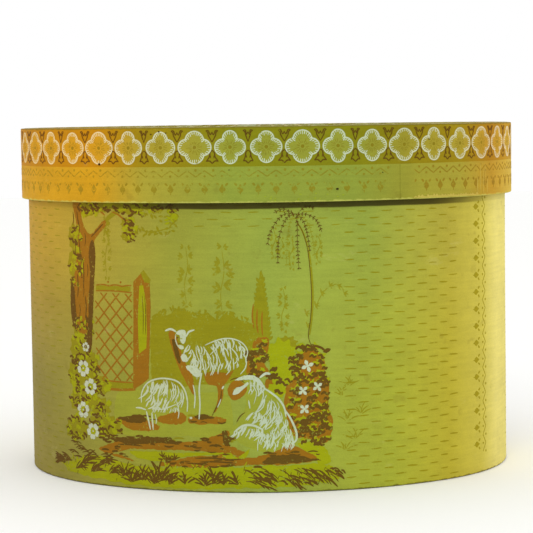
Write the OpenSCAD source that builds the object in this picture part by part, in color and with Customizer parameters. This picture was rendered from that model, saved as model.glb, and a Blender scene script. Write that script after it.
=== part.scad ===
// Oval pasteboard hat box with a deep telescoping lid, covered in printed paper.
// Units are millimetres. The front of the box faces -Y, and the long axis lies along X.
// Every outline is the box maker's four-centred oval, stepped in or out by an offset, so that the
// boards, papers and linings nest inside each other at a constant distance.

/* [Oval] */
// Radius of the two end arcs at the outer face of the wall board
end_radius = 162; // [150:1:170]
// Distance of each end arc's centre from the middle of the box, along X
end_centre = 48; // [30:1:54]
// Distance of each side arc's centre from the middle of the box, along Y
side_centre = 64; // [56:1:76]

/* [Box] */
// Height of the box over its closed lid
box_height = 296.6; // [250:0.2:340]
// Thickness of the wall's pasteboard
wall_thickness = 2; // [1.6:0.1:2.6]
// Thickness of the base's pasteboard
base_thickness = 2.5; // [2:0.1:3.5]
// Width of the lap where the wall's two ends are sewn together
wall_lap = 30; // [20:1:40]

/* [Lid] */
// Depth of the lid from its top face to the lower edge of its rim
lid_depth = 61; // [45:1:75]
// Thickness of the pasteboard of the lid's rim
rim_thickness = 2; // [1.6:0.1:2.6]
// Thickness of the lid's pasteboard top
top_thickness = 2.5; // [2:0.1:3.5]
// Air gap between the wall's cover and the lining of the lid's rim
lid_play = 3.1; // [2.8:0.1:4]
// Width of the lap in the lid's rim
rim_lap = 30; // [20:1:40]
// Width of the upper border paper, from the top edge down
upper_border_width = 32; // [24:1:38]

/* [Paper] */
// Thickness of every paper with its paste
paper = 0.3; // [0.2:0.05:0.4]
// Width that the papers are turned over the edges of the boards
turn_in = 12; // [8:1:16]
// Width of the lap where one length of paper covers the next
paper_lap = 10; // [6:1:14]
// Rim of turned-over border that shows round the lid's top paper
top_margin = 3.5; // [2:0.5:6]

/* [Thread] */
// Diameter of the linen thread
thread = 0.8; // [0.6:0.1:1]
// Length of each long stitch in a lap
lap_stitch = 18; // [12:1:24]
// Number of stitches that sew the wall to the base
base_stitch_count = 36; // [24:4:48]
// Number of stitches that sew the lid's rim to its top
lid_stitch_count = 32; // [24:4:40]
// Length of each of those stitches along the edge
edge_stitch = 12; // [8:1:14]
// Depth that the thread runs into the edge of the base or of the lid's top
stitch_bite = 9; // [6:1:12]

/* [Hidden] */
$fn = 240;

// The side arcs' radius makes them tangent to the end arcs
centre_gap = sqrt(end_centre * end_centre + side_centre * side_centre);
side_radius = end_radius + centre_gap;
// Direction, from +X, in which an end arc meets a side arc
tangent_angle = atan2(side_centre, end_centre);
// Half-size of the cutting blocks, larger than any box in range
reach = 900;
// Extra length of a cut past the faces that it goes through
clear = 1;
// Overlap that joins two solids that only touch
sliver = 0.02;
// Spacing of the long stitches in the wall's lap, and in the lid rim's lap
wall_stitch_pitch = 1.6 * lap_stitch;
lid_stitch_pitch = 1.2 * lap_stitch;

// Heights in the box, from the table up
turn_top = 2 * paper;
base_top = turn_top + base_thickness;
lid_bottom = box_height - lid_depth;
lid_board_top = box_height - 2 * paper;
lid_board_bottom = lid_board_top - top_thickness;
lid_lining_bottom = lid_board_bottom - paper;
lid_rest_gap = 0.2;
wall_cover_top = lid_lining_bottom - lid_rest_gap;
wall_top = wall_cover_top - paper;
upper_border_bottom = box_height - upper_border_width;

// Offsets of the faces from the reference oval, outwards
wall_inside = -wall_thickness;
wall_lining_inside = wall_inside - paper;
cover_outside = paper;
rim_lining_inside = cover_outside + lid_play;
rim_inside = rim_lining_inside + paper;
rim_outside = rim_inside + rim_thickness;
border_outside = rim_outside + paper;

// Angles round the side arcs' centre, or round an end arc's, that a lap's width takes
wall_lap_angle = wall_lap / side_radius * 180 / PI;
rim_lap_angle = rim_lap / side_radius * 180 / PI;
border_lap_angle = paper_lap / side_radius * 180 / PI;

// Plane across the box, behind its middle, where the front and back sheets of the cover meet
cover_joint = 36;
// Plane along the box, right of its middle, where the two lengths of the lower border meet
border_joint = 117;
// Direction of the upper border's lap, round the back side arc's centre
upper_border_joint = 104;

colour_board = "tan";
colour_thread = "wheat";
colour_ground = "yellowgreen";
colour_back = "khaki";
colour_border = "olive";
colour_lower = "darkkhaki";
colour_plain = "cornsilk";
colour_top = "lemonchiffon";

// Point on the oval at an offset, in the direction seen from the arc's own centre
function oval_point(angle, offset) =
    let (a = (angle % 360 + 360) % 360,
         quarter = a > 180 ? 360 - a : a,
         first = quarter > 90 ? 180 - quarter : quarter,
         on_end = first <= tangent_angle,
         sx = cos(a) < 0 ? -1 : 1,
         sy = sin(a) < 0 ? -1 : 1,
         r = (on_end ? end_radius : side_radius) + offset,
         centre = on_end ? [end_centre, 0] : [0, -side_centre])
    [sx * (centre[0] + r * cos(first)), sy * (centre[1] + r * sin(first))];

// Wedge with its tip at the origin, from one direction to another, under half a turn apart
module wedge(from, to) {
    polygon([[0, 0], reach * [cos(from), sin(from)], reach * [cos((from + to) / 2), sin((from + to) / 2)],
             reach * [cos(to), sin(to)]]);
}

module end_sector(offset, side) {
    translate([side * end_centre, 0]) intersection() {
        circle(end_radius + offset);
        wedge((side > 0 ? 0 : 180) - tangent_angle, (side > 0 ? 0 : 180) + tangent_angle);
    }
}

module side_sector(offset, side) {
    translate([0, -side * side_centre]) intersection() {
        circle(side_radius + offset);
        wedge(side * 90 - (90 - tangent_angle), side * 90 + (90 - tangent_angle));
    }
}

// The four-centred oval
module oval(offset) {
    for (side = [-1, 1]) {
        end_sector(offset, side);
        side_sector(offset, side);
    }
}

module oval_disc(offset, bottom, top) {
    translate([0, 0, bottom]) linear_extrude(top - bottom) oval(offset);
}

module oval_ring(inside, outside, bottom, top) {
    difference() {
        oval_disc(outside, bottom, top);
        oval_disc(inside, bottom - clear, top + clear);
    }
}

// The part of its children that lies in a wedge round a point
module sector(centre, from, to) {
    intersection() {
        children();
        translate([centre[0], centre[1], -clear]) linear_extrude(box_height + 2 * clear) wedge(from, to);
    }
}

// A patch of wall over a lap at the middle of the back
module back_patch(inside, outside, angle, bottom, top) {
    sector([0, -side_centre], 90 - angle / 2, 90 + angle / 2) oval_ring(inside, outside, bottom, top);
}

// One long stitch through two lapped boards, as a flattened loop of thread
module lap_loop(outside, inside, middle) {
    depth = outside - inside;
    translate([0, back_y(inside), middle]) rotate([90, 0, 90])
        linear_extrude(thread, center = true) difference() {
            translate([0, -lap_stitch / 2]) square([depth, lap_stitch]);
            translate([thread, thread - lap_stitch / 2])
                square([depth - 2 * thread, lap_stitch - 2 * thread]);
        }
}

function back_y(offset) = side_radius - side_centre + offset;

// One stitch round the edge of a board: a bar outside, and two legs that bite into the edge
module edge_loop(angle, outside, z) {
    half = edge_stitch / 2 / end_radius * 180 / PI;
    from = oval_point(angle - half, outside);
    to = oval_point(angle + half, outside);
    width = norm(to - from);
    translate([from[0], from[1], z]) rotate(atan2(to[1] - from[1], to[0] - from[0]))
        linear_extrude(thread, center = true) difference() {
            square([width, stitch_bite]);
            translate([thread, thread]) square([width - 2 * thread, stitch_bite]);
        }
}

// ---- the box ----

module base_board() {
    color(colour_board) oval_disc(wall_inside, turn_top, base_top);
}

// A strip bent round the base, its inner end lapped behind its outer end at the middle of the back
module wall_board() {
    color(colour_board) {
        oval_ring(wall_inside, 0, turn_top, wall_top);
        back_patch(2 * wall_inside, wall_inside + sliver, wall_lap_angle, base_top + paper, wall_top - turn_in);
    }
}

module wall_lap_stitches() {
    count = floor((wall_top - turn_in - base_top) / wall_stitch_pitch);
    first = (wall_top - turn_in + base_top - (count - 1) * wall_stitch_pitch) / 2;
    color(colour_thread) for (i = [0:count - 1])
        lap_loop(0, 2 * wall_inside, first + i * wall_stitch_pitch);
}

module base_stitches() {
    color(colour_thread) for (i = [0:base_stitch_count - 1])
        edge_loop((i + 0.5) * 360 / base_stitch_count, 0, turn_top + base_thickness / 2);
}

// Outer paper: up the wall, over its top edge and down inside, and under the base
module cover_paper() {
    difference() {
        oval_disc(cover_outside, paper, wall_cover_top);
        oval_disc(-turn_in, 0, base_top);
        oval_disc(0, turn_top, wall_top - turn_in);
        oval_ring(wall_inside, 0, turn_top, wall_top);
        oval_disc(wall_lining_inside, turn_top, box_height);
    }
}

// The part of its children between two planes across the box
module slab_y(from, to) {
    intersection() {
        children();
        translate([-reach, from, -clear]) cube([2 * reach, to - from, box_height + 2 * clear]);
    }
}

// The part of its children between two planes along the box
module slab_x(from, to) {
    intersection() {
        children();
        translate([from, -reach, -clear]) cube([to - from, 2 * reach, box_height + 2 * clear]);
    }
}

// The front sheet laps over both ends of the back sheet
module wall_cover_front() {
    color(colour_ground) {
        slab_y(-reach, cover_joint) cover_paper();
        slab_y(cover_joint - clear, cover_joint + paper_lap)
            oval_ring(cover_outside, cover_outside + paper, turn_top, wall_cover_top);
    }
}

module wall_cover_back() {
    color(colour_back) slab_y(cover_joint, reach) cover_paper();
}

module base_cover() {
    color(colour_plain) {
        oval_disc(-turn_in / 2, 0, paper);
        oval_disc(-turn_in, 0, turn_top);
    }
}

module wall_lining() {
    top = wall_top - turn_in;
    bottom = base_top + paper;
    color(colour_plain) {
        difference() {
            oval_ring(wall_lining_inside, wall_inside, bottom, top);
            back_patch(2 * wall_inside - paper, 0, wall_lap_angle, bottom - clear, top + clear);
        }
        back_patch(2 * wall_inside - paper, 2 * wall_inside, wall_lap_angle, bottom, top);
        for (side = [-1, 1]) lap_edge_lining(side, bottom, top);
    }
}

// The step of the lining over the lapped end of the wall
module lap_edge_lining(side, bottom, top) {
    edge = 90 + side * wall_lap_angle / 2;
    paper_angle = paper / side_radius * 180 / PI;
    past = edge + side * paper_angle;
    sector([0, -side_centre], min(edge, past), max(edge, past))
        oval_ring(2 * wall_inside - paper, wall_inside, bottom, top);
}

module base_lining() {
    color(colour_plain) oval_disc(wall_inside, base_top, base_top + paper);
}

// ---- the lid ----

module lid_board() {
    color(colour_board) oval_disc(rim_inside, lid_board_bottom, lid_board_top);
}

module lid_rim_board() {
    color(colour_board) {
        oval_ring(rim_inside, rim_outside, lid_bottom + paper, lid_board_top);
        back_patch(rim_inside - rim_thickness, rim_inside + sliver, rim_lap_angle,
                   lid_bottom + turn_in, lid_lining_bottom);
    }
}

module lid_lap_stitches() {
    middle = (lid_bottom + turn_in + lid_lining_bottom) / 2;
    color(colour_thread) for (side = [-1, 1])
        lap_loop(rim_outside, rim_inside - rim_thickness, middle + side * lid_stitch_pitch / 2);
}

module lid_edge_stitches() {
    color(colour_thread) for (i = [0:lid_stitch_count - 1])
        edge_loop((i + 0.5) * 360 / lid_stitch_count, rim_outside, lid_board_bottom + top_thickness / 2);
}

// The top paper lies over the turned edge of the upper border
module lid_top_cover() {
    color(colour_top) {
        oval_disc(border_outside - top_margin, lid_board_top + paper, box_height);
        oval_disc(border_outside - turn_in, lid_board_top, box_height);
    }
}

module lid_upper_border() {
    color(colour_border) {
        oval_ring(rim_outside, border_outside, upper_border_bottom, lid_board_top + paper);
        oval_ring(border_outside - turn_in, border_outside, lid_board_top, lid_board_top + paper);
        sector([0, -side_centre], upper_border_joint, upper_border_joint + border_lap_angle)
            oval_ring(border_outside, border_outside + paper, upper_border_bottom, lid_board_top + paper);
    }
}

// Lower border: down the rim, round its edge and up inside
module lower_border_paper() {
    oval_ring(rim_outside, border_outside, lid_bottom, upper_border_bottom);
    oval_ring(rim_lining_inside, border_outside, lid_bottom, lid_bottom + paper);
    oval_ring(rim_lining_inside, rim_inside, lid_bottom, lid_bottom + turn_in);
}

module lid_lower_border_left() {
    color(colour_lower) slab_x(-reach, border_joint) lower_border_paper();
}

// The right length laps over both ends of the left one
module lid_lower_border_right() {
    color(colour_lower) {
        slab_x(border_joint, reach) lower_border_paper();
        slab_x(border_joint - paper_lap, border_joint + clear)
            oval_ring(border_outside, border_outside + paper, lid_bottom, upper_border_bottom);
    }
}

module lid_top_lining() {
    color(colour_plain) oval_disc(rim_inside, lid_lining_bottom, lid_board_bottom);
}

module lid_rim_lining() {
    bottom = lid_bottom + turn_in;
    inner = rim_inside - rim_thickness - paper;
    edge_angle = paper / side_radius * 180 / PI;
    color(colour_plain) {
        difference() {
            oval_ring(rim_lining_inside, rim_inside, bottom, lid_lining_bottom);
            back_patch(inner, rim_inside + clear, rim_lap_angle, bottom - clear, lid_lining_bottom + clear);
        }
        back_patch(inner, inner + paper, rim_lap_angle, bottom, lid_lining_bottom);
        for (side = [-1, 1]) {
            edge = 90 + side * rim_lap_angle / 2;
            past = edge + side * edge_angle;
            sector([0, -side_centre], min(edge, past), max(edge, past))
                oval_ring(inner, rim_inside, bottom, lid_lining_bottom);
        }
    }
}

base_board();
wall_board();
wall_lap_stitches();
base_stitches();
wall_cover_front();
wall_cover_back();
base_cover();
wall_lining();
base_lining();
lid_board();
lid_rim_board();
lid_lap_stitches();
lid_edge_stitches();
lid_top_cover();
lid_upper_border();
lid_lower_border_left();
lid_lower_border_right();
lid_top_lining();
lid_rim_lining();
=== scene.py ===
"""Oval hat box in block-printed papers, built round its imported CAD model.

Meshes are made in metres in the row frame. Printed designs are drawn flat, in millimetres along the
wall from the middle of the front (right is positive) and up from the table, and then wrapped round.
"""

import math
import random

import bpy
import numpy as np
from bpy.props import FloatProperty, FloatVectorProperty, PointerProperty
from mathutils import Euler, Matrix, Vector
from mathutils.geometry import delaunay_2d_cdt, tessellate_polygon


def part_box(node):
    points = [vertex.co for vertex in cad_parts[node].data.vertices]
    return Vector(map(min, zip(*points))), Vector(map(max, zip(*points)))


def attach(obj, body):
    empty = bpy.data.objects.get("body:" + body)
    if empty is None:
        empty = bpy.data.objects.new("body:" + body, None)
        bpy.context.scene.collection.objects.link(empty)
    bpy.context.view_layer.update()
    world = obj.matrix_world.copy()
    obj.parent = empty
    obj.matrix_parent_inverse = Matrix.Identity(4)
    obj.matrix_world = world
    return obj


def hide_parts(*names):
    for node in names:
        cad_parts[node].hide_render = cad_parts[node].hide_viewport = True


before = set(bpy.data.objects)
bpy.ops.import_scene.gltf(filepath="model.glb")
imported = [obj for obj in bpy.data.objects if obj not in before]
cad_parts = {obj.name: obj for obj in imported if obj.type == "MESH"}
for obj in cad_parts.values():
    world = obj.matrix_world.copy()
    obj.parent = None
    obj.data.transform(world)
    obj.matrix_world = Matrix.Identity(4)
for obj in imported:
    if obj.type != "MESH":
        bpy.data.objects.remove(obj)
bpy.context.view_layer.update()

bl_info = {
    "name": "Oval hat box",
    "version": (1, 0, 0),
    "blender": (4, 5, 0),
    "location": "View3D > Sidebar > Hat Box",
    "description": "Papers, prints and linings of an oval pasteboard hat box",
    "category": "Object",
}

MM = 0.001

# ---- the oval, from the frame ----

WALL_LOW, WALL_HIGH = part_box("wall_board")
RIM_LOW, RIM_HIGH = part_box("lid_rim_board")
COVER_LOW, COVER_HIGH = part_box("wall_cover_front")
TURN_LOW, TURN_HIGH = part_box("base_cover")
BORDER_LOW, BORDER_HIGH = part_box("lid_upper_border")
LOWER_LOW, LOWER_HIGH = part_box("lid_lower_border_left")
TOP_LOW, TOP_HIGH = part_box("lid_top_cover")
LAP_LOW, LAP_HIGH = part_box("lid_lower_border_right")

HALF_LONG = WALL_HIGH[0] / MM
HALF_DEEP = WALL_LOW[1] / -MM
END_CENTRE = 48.0
END_RADIUS = HALF_LONG - END_CENTRE
_SHORT = HALF_DEEP - END_RADIUS
SIDE_CENTRE = (END_CENTRE ** 2 - _SHORT ** 2) / (2 * _SHORT)
SIDE_RADIUS = HALF_DEEP + SIDE_CENTRE
SIDE_ARC = math.atan2(END_CENTRE, SIDE_CENTRE)
END_ARC = math.pi - 2 * SIDE_ARC

# Faces as offsets from the wall board's outer face, and heights, all in millimetres
PAPER = 0.3
COVER_FACE = -COVER_LOW[0] / MM - HALF_LONG
COVER_TOP = COVER_HIGH[2] / MM
COVER_BOTTOM = COVER_LOW[2] / MM
BOARD_BOTTOM = COVER_BOTTOM + PAPER
RIM_FACE = RIM_HIGH[0] / MM - HALF_LONG
LID_FACE = BORDER_HIGH[0] / MM - HALF_LONG
LID_BOTTOM = LOWER_LOW[2] / MM
LID_TOP = TOP_HIGH[2] / MM
STRIP_JOIN = LOWER_HIGH[2] / MM
BORDER_TOP = BORDER_HIGH[2] / MM
WALL_THICKNESS = 2.0
RIM_THICKNESS = 2.0
TURN_IN = 12.0
LAP = 10.0
TOP_PAPER_FACE = TOP_HIGH[0] / MM - HALF_LONG
SHEET_JOINT = COVER_HIGH[1] / MM - LAP
BORDER_JOINT = LAP_LOW[0] / MM + LAP
UPPER_JOINT = math.radians(104)

# Spacing of the lines along which every wrapped surface bends, and of its rows
BEND = 4.0
ROW = 8.0


def tone(red, green, blue):
    """A colour given as screen values from 0 to 255, as the fractions that a colour property holds."""
    return (red / 255, green / 255, blue / 255)


def linear(colour):
    """A property's screen colour as the linear colour that a shader takes."""
    return tuple(c / 12.92 if c <= 0.04045 else ((c + 0.055) / 1.055) ** 2.4 for c in colour)


class Wrap:
    """Lays flat designs on the oval. Lengths are true on the face that it is made for."""

    def __init__(self, face, waves, swell):
        self.face = face
        self.waves = waves
        self.swell = swell
        side = (SIDE_RADIUS + face) * SIDE_ARC
        end = (END_RADIUS + face) * END_ARC
        self.arcs = [
            (0, SIDE_CENTRE, SIDE_RADIUS, side),
            (END_CENTRE, 0, END_RADIUS, end),
            (0, -SIDE_CENTRE, SIDE_RADIUS, 2 * side),
            (-END_CENTRE, 0, END_RADIUS, end),
            (0, SIDE_CENTRE, SIDE_RADIUS, side),
        ]
        self.girth = sum(arc[3] for arc in self.arcs)

    def ripple(self, along, up):
        """How far the paper stands off its board, from slow waves round and up the wall."""
        turn = 2 * math.pi * along / self.girth
        total = np.zeros(np.broadcast(along, up).shape)
        for round_count, up_length, phase in self.waves:
            total = total + np.sin(round_count * turn + 2 * math.pi * up / up_length + phase)
        return self.swell * (0.5 + 0.5 * total / len(self.waves))

    def place(self, along, up, out, flat=False):
        """Points in metres for lengths along and up the wall, standing out from the face."""
        along, up, out = (np.asarray(v, float) for v in (along, up, out))
        if not flat:
            out = out + self.ripple(along, up)
        turned = np.mod(along, self.girth)
        result = np.zeros((along.size, 3))
        start, heading = 0.0, -math.pi / 2
        for centre_x, centre_y, radius, length in self.arcs:
            here = (turned >= start) & (turned <= start + length)
            angle = heading + (turned[here] - start) / (radius + self.face)
            reach = radius + self.face + out[here]
            result[here, 0] = (centre_x + reach * np.cos(angle)) * MM
            result[here, 1] = (centre_y + reach * np.sin(angle)) * MM
            start += length
            heading += length / (radius + self.face)
        result[:, 2] = up * MM
        return result

    def length_at_x(self, x):
        """How far along the front the wall reaches a plane across the box."""
        tries = np.linspace(0, self.girth / 2, 4001)
        places = self.place(tries, np.zeros_like(tries), np.zeros_like(tries), flat=True)
        inner = tries < self.girth / 4
        return float(tries[inner][np.argmin(np.abs(places[inner, 0] - x * MM))])

    def length_at_y(self, y):
        """How far round to the right the wall reaches a plane along the box."""
        tries = np.linspace(0, self.girth / 2, 4001)
        places = self.place(tries, np.zeros_like(tries), np.zeros_like(tries), flat=True)
        return float(tries[np.argmin(np.abs(places[:, 1] - y * MM))])


WALL = Wrap(COVER_FACE, ((9, 310, 0.4), (14, -170, 2.0), (23, 240, 4.1)), 0.22)
RIM = Wrap(LID_FACE, ((11, 160, 1.1), (19, -120, 3.0), (31, 90, 5.2)), 0.16)


# ---- meshes ----

def add_piece(name, points, faces, material, body, slot):
    """Makes a mesh piece that rides on a body and takes the given material; its slot is not used."""
    mesh = bpy.data.meshes.new(name)
    mesh.from_pydata([tuple(p) for p in points], [], faces)
    mesh.validate()
    mesh.update()
    mesh.materials.append(material)
    piece = bpy.data.objects.new(name, mesh)
    bpy.context.scene.collection.objects.link(piece)
    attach(piece, body)
    return piece


def smooth_by_angle(piece, degrees=35):
    """Shades a piece smooth except at its sharp edges."""
    mesh = piece.data
    mesh.polygons.foreach_set("use_smooth", [True] * len(mesh.polygons))
    mesh.set_sharp_from_angle(angle=math.radians(degrees))


def joined(parts):
    """Several (points, faces) shells as one."""
    points, faces = [], []
    for some_points, some_faces in parts:
        base = len(points)
        points.extend(some_points)
        faces.extend([[base + i for i in face] for face in some_faces])
    return points, faces


def stations(start, end, step):
    """Both ends of a stretch and every whole step between them."""
    inner = [step * k for k in range(math.floor(start / step) + 1, math.ceil(end / step))]
    margin = step * 0.1
    return [start] + [v for v in inner if start + margin < v < end - margin] + [end]


def filleted(corners, radius, steps=5):
    """An open path with its corners rounded where a radius is given for them."""
    path = [corners[0]]
    for before, corner, after, size in zip(corners, corners[1:], corners[2:], radius):
        if size == 0:
            path.append(corner)
            continue
        first = (np.array(before, float) - corner)
        last = (np.array(after, float) - corner)
        first = np.array(corner) + first / np.linalg.norm(first) * size
        last = np.array(corner) + last / np.linalg.norm(last) * size
        for k in range(steps + 1):
            t = k / steps * math.pi / 2
            weight = (1 - math.sin(t), 1 - math.cos(t))
            mix = (np.array(corner) + weight[0] * (first - corner) + weight[1] * (last - corner))
            path.append(tuple(mix))
    path.append(corners[-1])
    return path


def with_rows(path):
    """A path with its long upright stretches divided at whole rows."""
    result = [path[0]]
    for (out_a, up_a), (out_b, up_b) in zip(path, path[1:]):
        low, high = min(up_a, up_b), max(up_a, up_b)
        middle = stations(low, high, ROW)[1:-1] if high - low > ROW else []
        if up_b < up_a:
            middle = middle[::-1]
        for up in middle:
            share = (up - up_a) / (up_b - up_a)
            result.append((out_a + share * (out_b - out_a), up))
        result.append((out_b, up_b))
    return result


def swept(wrap, profile_at, start, end):
    """A closed outline carried along the oval, as a shell with flat ends."""
    lengths = stations(start, end, BEND)
    rings = [np.array(profile_at(length)) for length in lengths]
    count = len(rings[0])
    points = []
    for length, ring in zip(lengths, rings):
        out = ring[:, 0] - wrap.face
        skin = np.clip((out + PAPER * 1.5) / PAPER, 0, 1)
        lift = wrap.ripple(np.full(count, length), ring[:, 1]) * skin
        points.extend(wrap.place(np.full(count, length), ring[:, 1], out + lift, flat=True))
    faces = []
    columns = len(lengths)
    for i in range(columns - 1):
        here, there = i * count, (i + 1) * count
        for k in range(count):
            after = (k + 1) % count
            faces.append([here + k, there + k, there + after, here + after])
    faces.append(list(range(count)))
    faces.append([(columns - 1) * count + k for k in reversed(range(count))])
    return points, faces


def oval_outline(offset, step=BEND):
    """The oval at an offset, as flat points in millimetres."""
    ring = Wrap(offset, ((1, 100, 0),), 0)
    count = round(ring.girth / step)
    lengths = np.arange(count) * ring.girth / count
    places = ring.place(lengths, np.zeros(count), np.zeros(count), flat=True)
    return [(float(x), float(y)) for x, y in places[:, :2] / MM]


def slab(outline, bottom, top_at, grid=7.0):
    """A flat-bottomed sheet inside an outline, its upper side at a height worked out for each point."""
    reach = max(x for x, y in outline)
    count = int(reach / grid)
    spots = [(i * grid, j * grid) for i in range(-count, count + 1) for j in range(-count, count + 1)]
    flat, triangles = united([outline], extra=spots)
    return thick(flat, triangles, lambda points: [(x * MM, y * MM, top_at(x, y) * MM) for x, y in points],
                 lambda points: [(x * MM, y * MM, bottom * MM) for x, y in points])


def united(cells, lines=(), extra=()):
    """Joins overlapping convex cells into one flat net: its points and the triangles inside the cells."""
    points, faces = [], []
    for cell in cells:
        faces.append(list(range(len(points), len(points) + len(cell))))
        points.extend(Vector(p) for p in cell)
    edges = []
    for start, end in lines:
        edges.append((len(points), len(points) + 1))
        points.extend((Vector(start), Vector(end)))
    points.extend(Vector(p) for p in extra)
    made, _, triangles, _, _, owners = delaunay_2d_cdt(points, edges, faces, 0, 1e-5, True)
    flat = [tuple(p) for p in made]
    spread = [0.0] * len(cells)
    for triangle, own in zip(triangles, owners):
        size = area([flat[i] for i in triangle]) if own else 0
        for i in own:
            spread[i] += size
    leaking = {i for i, cell in enumerate(cells) if spread[i] > area(cell) * 1.02 + 0.01}

    def inside(triangle, cell):
        x, y = (sum(flat[i][n] for i in triangle) / 3 for n in (0, 1))
        return all((bx - ax) * (y - ay) - (by - ay) * (x - ax) > -1e-4
                   for (ax, ay), (bx, by) in zip(cell, cell[1:] + cell[:1]))

    return flat, [t for t, own in zip(triangles, owners)
                  if any(i not in leaking or inside(t, cells[i]) for i in own)]


def area(outline):
    """The area inside a flat outline, negative when it runs clockwise."""
    return sum(a[0] * b[1] - b[0] * a[1] for a, b in zip(outline, outline[1:] + outline[:1])) / 2


def thick(flat, triangles, upper, lower):
    """A closed shell from a flat net: an upper side, a lower side and walls round the edges."""
    across = {}
    for number, triangle in enumerate(triangles):
        for k in range(3):
            across[(triangle[k], triangle[(k + 1) % 3])] = (number, k)
    home = {}
    points = []
    for number, triangle in enumerate(triangles):
        for k in range(3):
            if (number, k) in home:
                continue
            fan, waiting = [], [(number, k)]
            while waiting:
                corner = waiting.pop()
                if corner in home:
                    continue
                home[corner] = len(points)
                here = triangles[corner[0]]
                mine, after, before = (here[(corner[1] + step) % 3] for step in (0, 1, 2))
                if (after, mine) in across:
                    other, start = across[(after, mine)]
                    waiting.append((other, (start + 1) % 3))
                if (mine, before) in across:
                    waiting.append(across[(mine, before)])
            points.append(flat[triangle[k]])
    count = len(points)
    faces = []
    for number, triangle in enumerate(triangles):
        a, b, c = (home[(number, k)] for k in range(3))
        faces.append([a, b, c])
        faces.append([c + count, b + count, a + count])
        for k, (first, second) in enumerate(((a, b), (b, c), (c, a))):
            if (triangle[(k + 1) % 3], triangle[k]) not in across:
                faces.append([first + count, second + count, second, first])
    return list(upper(points)) + list(lower(points)), faces


# ---- printing blocks ----

def curve(points, closed=False, steps=6):
    """A smooth path through given points."""
    count = len(points)
    spans = count if closed else count - 1
    path = []
    for i in range(spans):
        if closed:
            p, q, r, s = (points[(i + k) % count] for k in (-1, 0, 1, 2))
        else:
            p, q, r, s = (points[min(max(i + k, 0), count - 1)] for k in (-1, 0, 1, 2))
        for k in range(steps):
            t = k / steps
            path.append(tuple(
                0.5 * (2 * q[n] + (r[n] - p[n]) * t + (2 * p[n] - 5 * q[n] + 4 * r[n] - s[n]) * t * t
                       + (3 * q[n] - p[n] - 3 * r[n] + s[n]) * t ** 3) for n in (0, 1)))
    if not closed:
        path.append(tuple(points[-1]))
    return path


def turned(points, angle, at):
    """Points turned about the origin by an angle in degrees, then moved."""
    c, s = math.cos(math.radians(angle)), math.sin(math.radians(angle))
    return [(at[0] + x * c - y * s, at[1] + x * s + y * c) for x, y in points]


class Block:
    """The raised areas of one printing block, as flat convex cells in millimetres."""

    def __init__(self):
        self.cells = []

    def cell(self, points):
        """Adds one convex cell, turned anticlockwise; slivers are left out."""
        points = list(points)
        size = area(points)
        longest = max(math.dist(a, b) for a, b in zip(points, points[1:] + points[:1]))
        if abs(size) > 0.03 * longest:
            self.cells.append(points if size > 0 else points[::-1])

    def area(self, points, soft=True, ragged=0, seed=1):
        """A filled region inside an outline of given points."""
        outline = curve(points, closed=True) if soft else list(points)
        if ragged:
            outline = frayed(outline, ragged, seed)
        for triangle in tessellate_polygon([[Vector((x, y, 0)) for x, y in outline]]):
            self.cell([outline[i] for i in triangle])

    def stroke(self, points, width, tip=0.25, steps=4, swell=0.5):
        """A brush stroke along a smooth path, narrowing to its tips."""
        path = curve(points, steps=steps)
        last = len(path) - 1
        sides = []
        for i, (x, y) in enumerate(path):
            ahead, behind = path[min(i + 1, last)], path[max(i - 1, 0)]
            dx, dy = ahead[0] - behind[0], ahead[1] - behind[1]
            size = math.hypot(dx, dy) or 1
            half = width / 2 * (tip + (1 - tip) * math.sin(math.pi * i / last) ** swell)
            sides.append(((x - dy / size * half, y + dx / size * half),
                          (x + dy / size * half, y - dx / size * half)))
        for (left, right), (next_left, next_right) in zip(sides, sides[1:]):
            self.cell([left, right, next_right])
            self.cell([left, next_right, next_left])

    def leaf(self, x, y, length, width, angle):
        """A pointed leaf about its middle."""
        half = [(-0.5, 0), (-0.22, 0.4), (0.1, 0.5), (0.35, 0.28), (0.5, 0)]
        outline = half + [(u, -v) for u, v in half[-2:0:-1]]
        self.cell(turned([(u * length, v * width) for u, v in outline], angle, (x, y)))

    def dot(self, x, y, radius, flat=1.0, angle=0, sides=12):
        """A round or oval spot."""
        ring = [(radius * math.cos(2 * math.pi * k / sides),
                 radius * flat * math.sin(2 * math.pi * k / sides)) for k in range(sides)]
        self.cell(turned(ring, angle, (x, y)))


def frayed(outline, amount, seed):
    """An outline with small bumps in and out, as a block rubbed by long use prints it."""
    rng = random.Random(seed)
    result = []
    for (ax, ay), (bx, by) in zip(outline, outline[1:] + outline[:1]):
        length = math.hypot(bx - ax, by - ay)
        count = max(1, round(length / (amount * 2.2)))
        for k in range(count):
            t = k / count
            result.append((ax + (bx - ax) * t + rng.uniform(-amount, amount) / 2,
                           ay + (by - ay) * t + rng.uniform(-amount, amount) / 2))
    return result


class Print:
    """A set of blocks, one for each colour, in the order in which they are printed."""
    COLOURS = ("faint", "pale", "olive", "rust", "bright", "brown", "white")

    def __init__(self):
        for colour in self.COLOURS:
            setattr(self, colour, Block())


def film(name, block, wrap, height, material, body, slot, shift=0.0):
    """The colour that a block leaves: its areas joined, wrapped on the wall and standing proud."""
    cells = [[(x + shift, y) for x, y in cell] for cell in block.cells]
    low, high = ([limit(p[n] for cell in cells for p in cell) for n in (0, 1)] for limit in (min, max))
    lines = [((along, low[1] - 1), (along, high[1] + 1)) for along in stations(low[0], high[0], BEND)[1:-1]]
    lines += [((low[0] - 1, up), (high[0] + 1, up)) for up in stations(low[1], high[1], 2 * ROW)[1:-1]]
    flat, triangles = united(cells, lines)

    def skin(out):
        return lambda points: wrap.place(*np.array(points).T, out)

    piece = add_piece(name, *thick(flat, triangles, skin(height), skin(-0.05)), material, body, slot)
    smooth_by_angle(piece)
    return piece


# ---- motifs of the garden print ----

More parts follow.
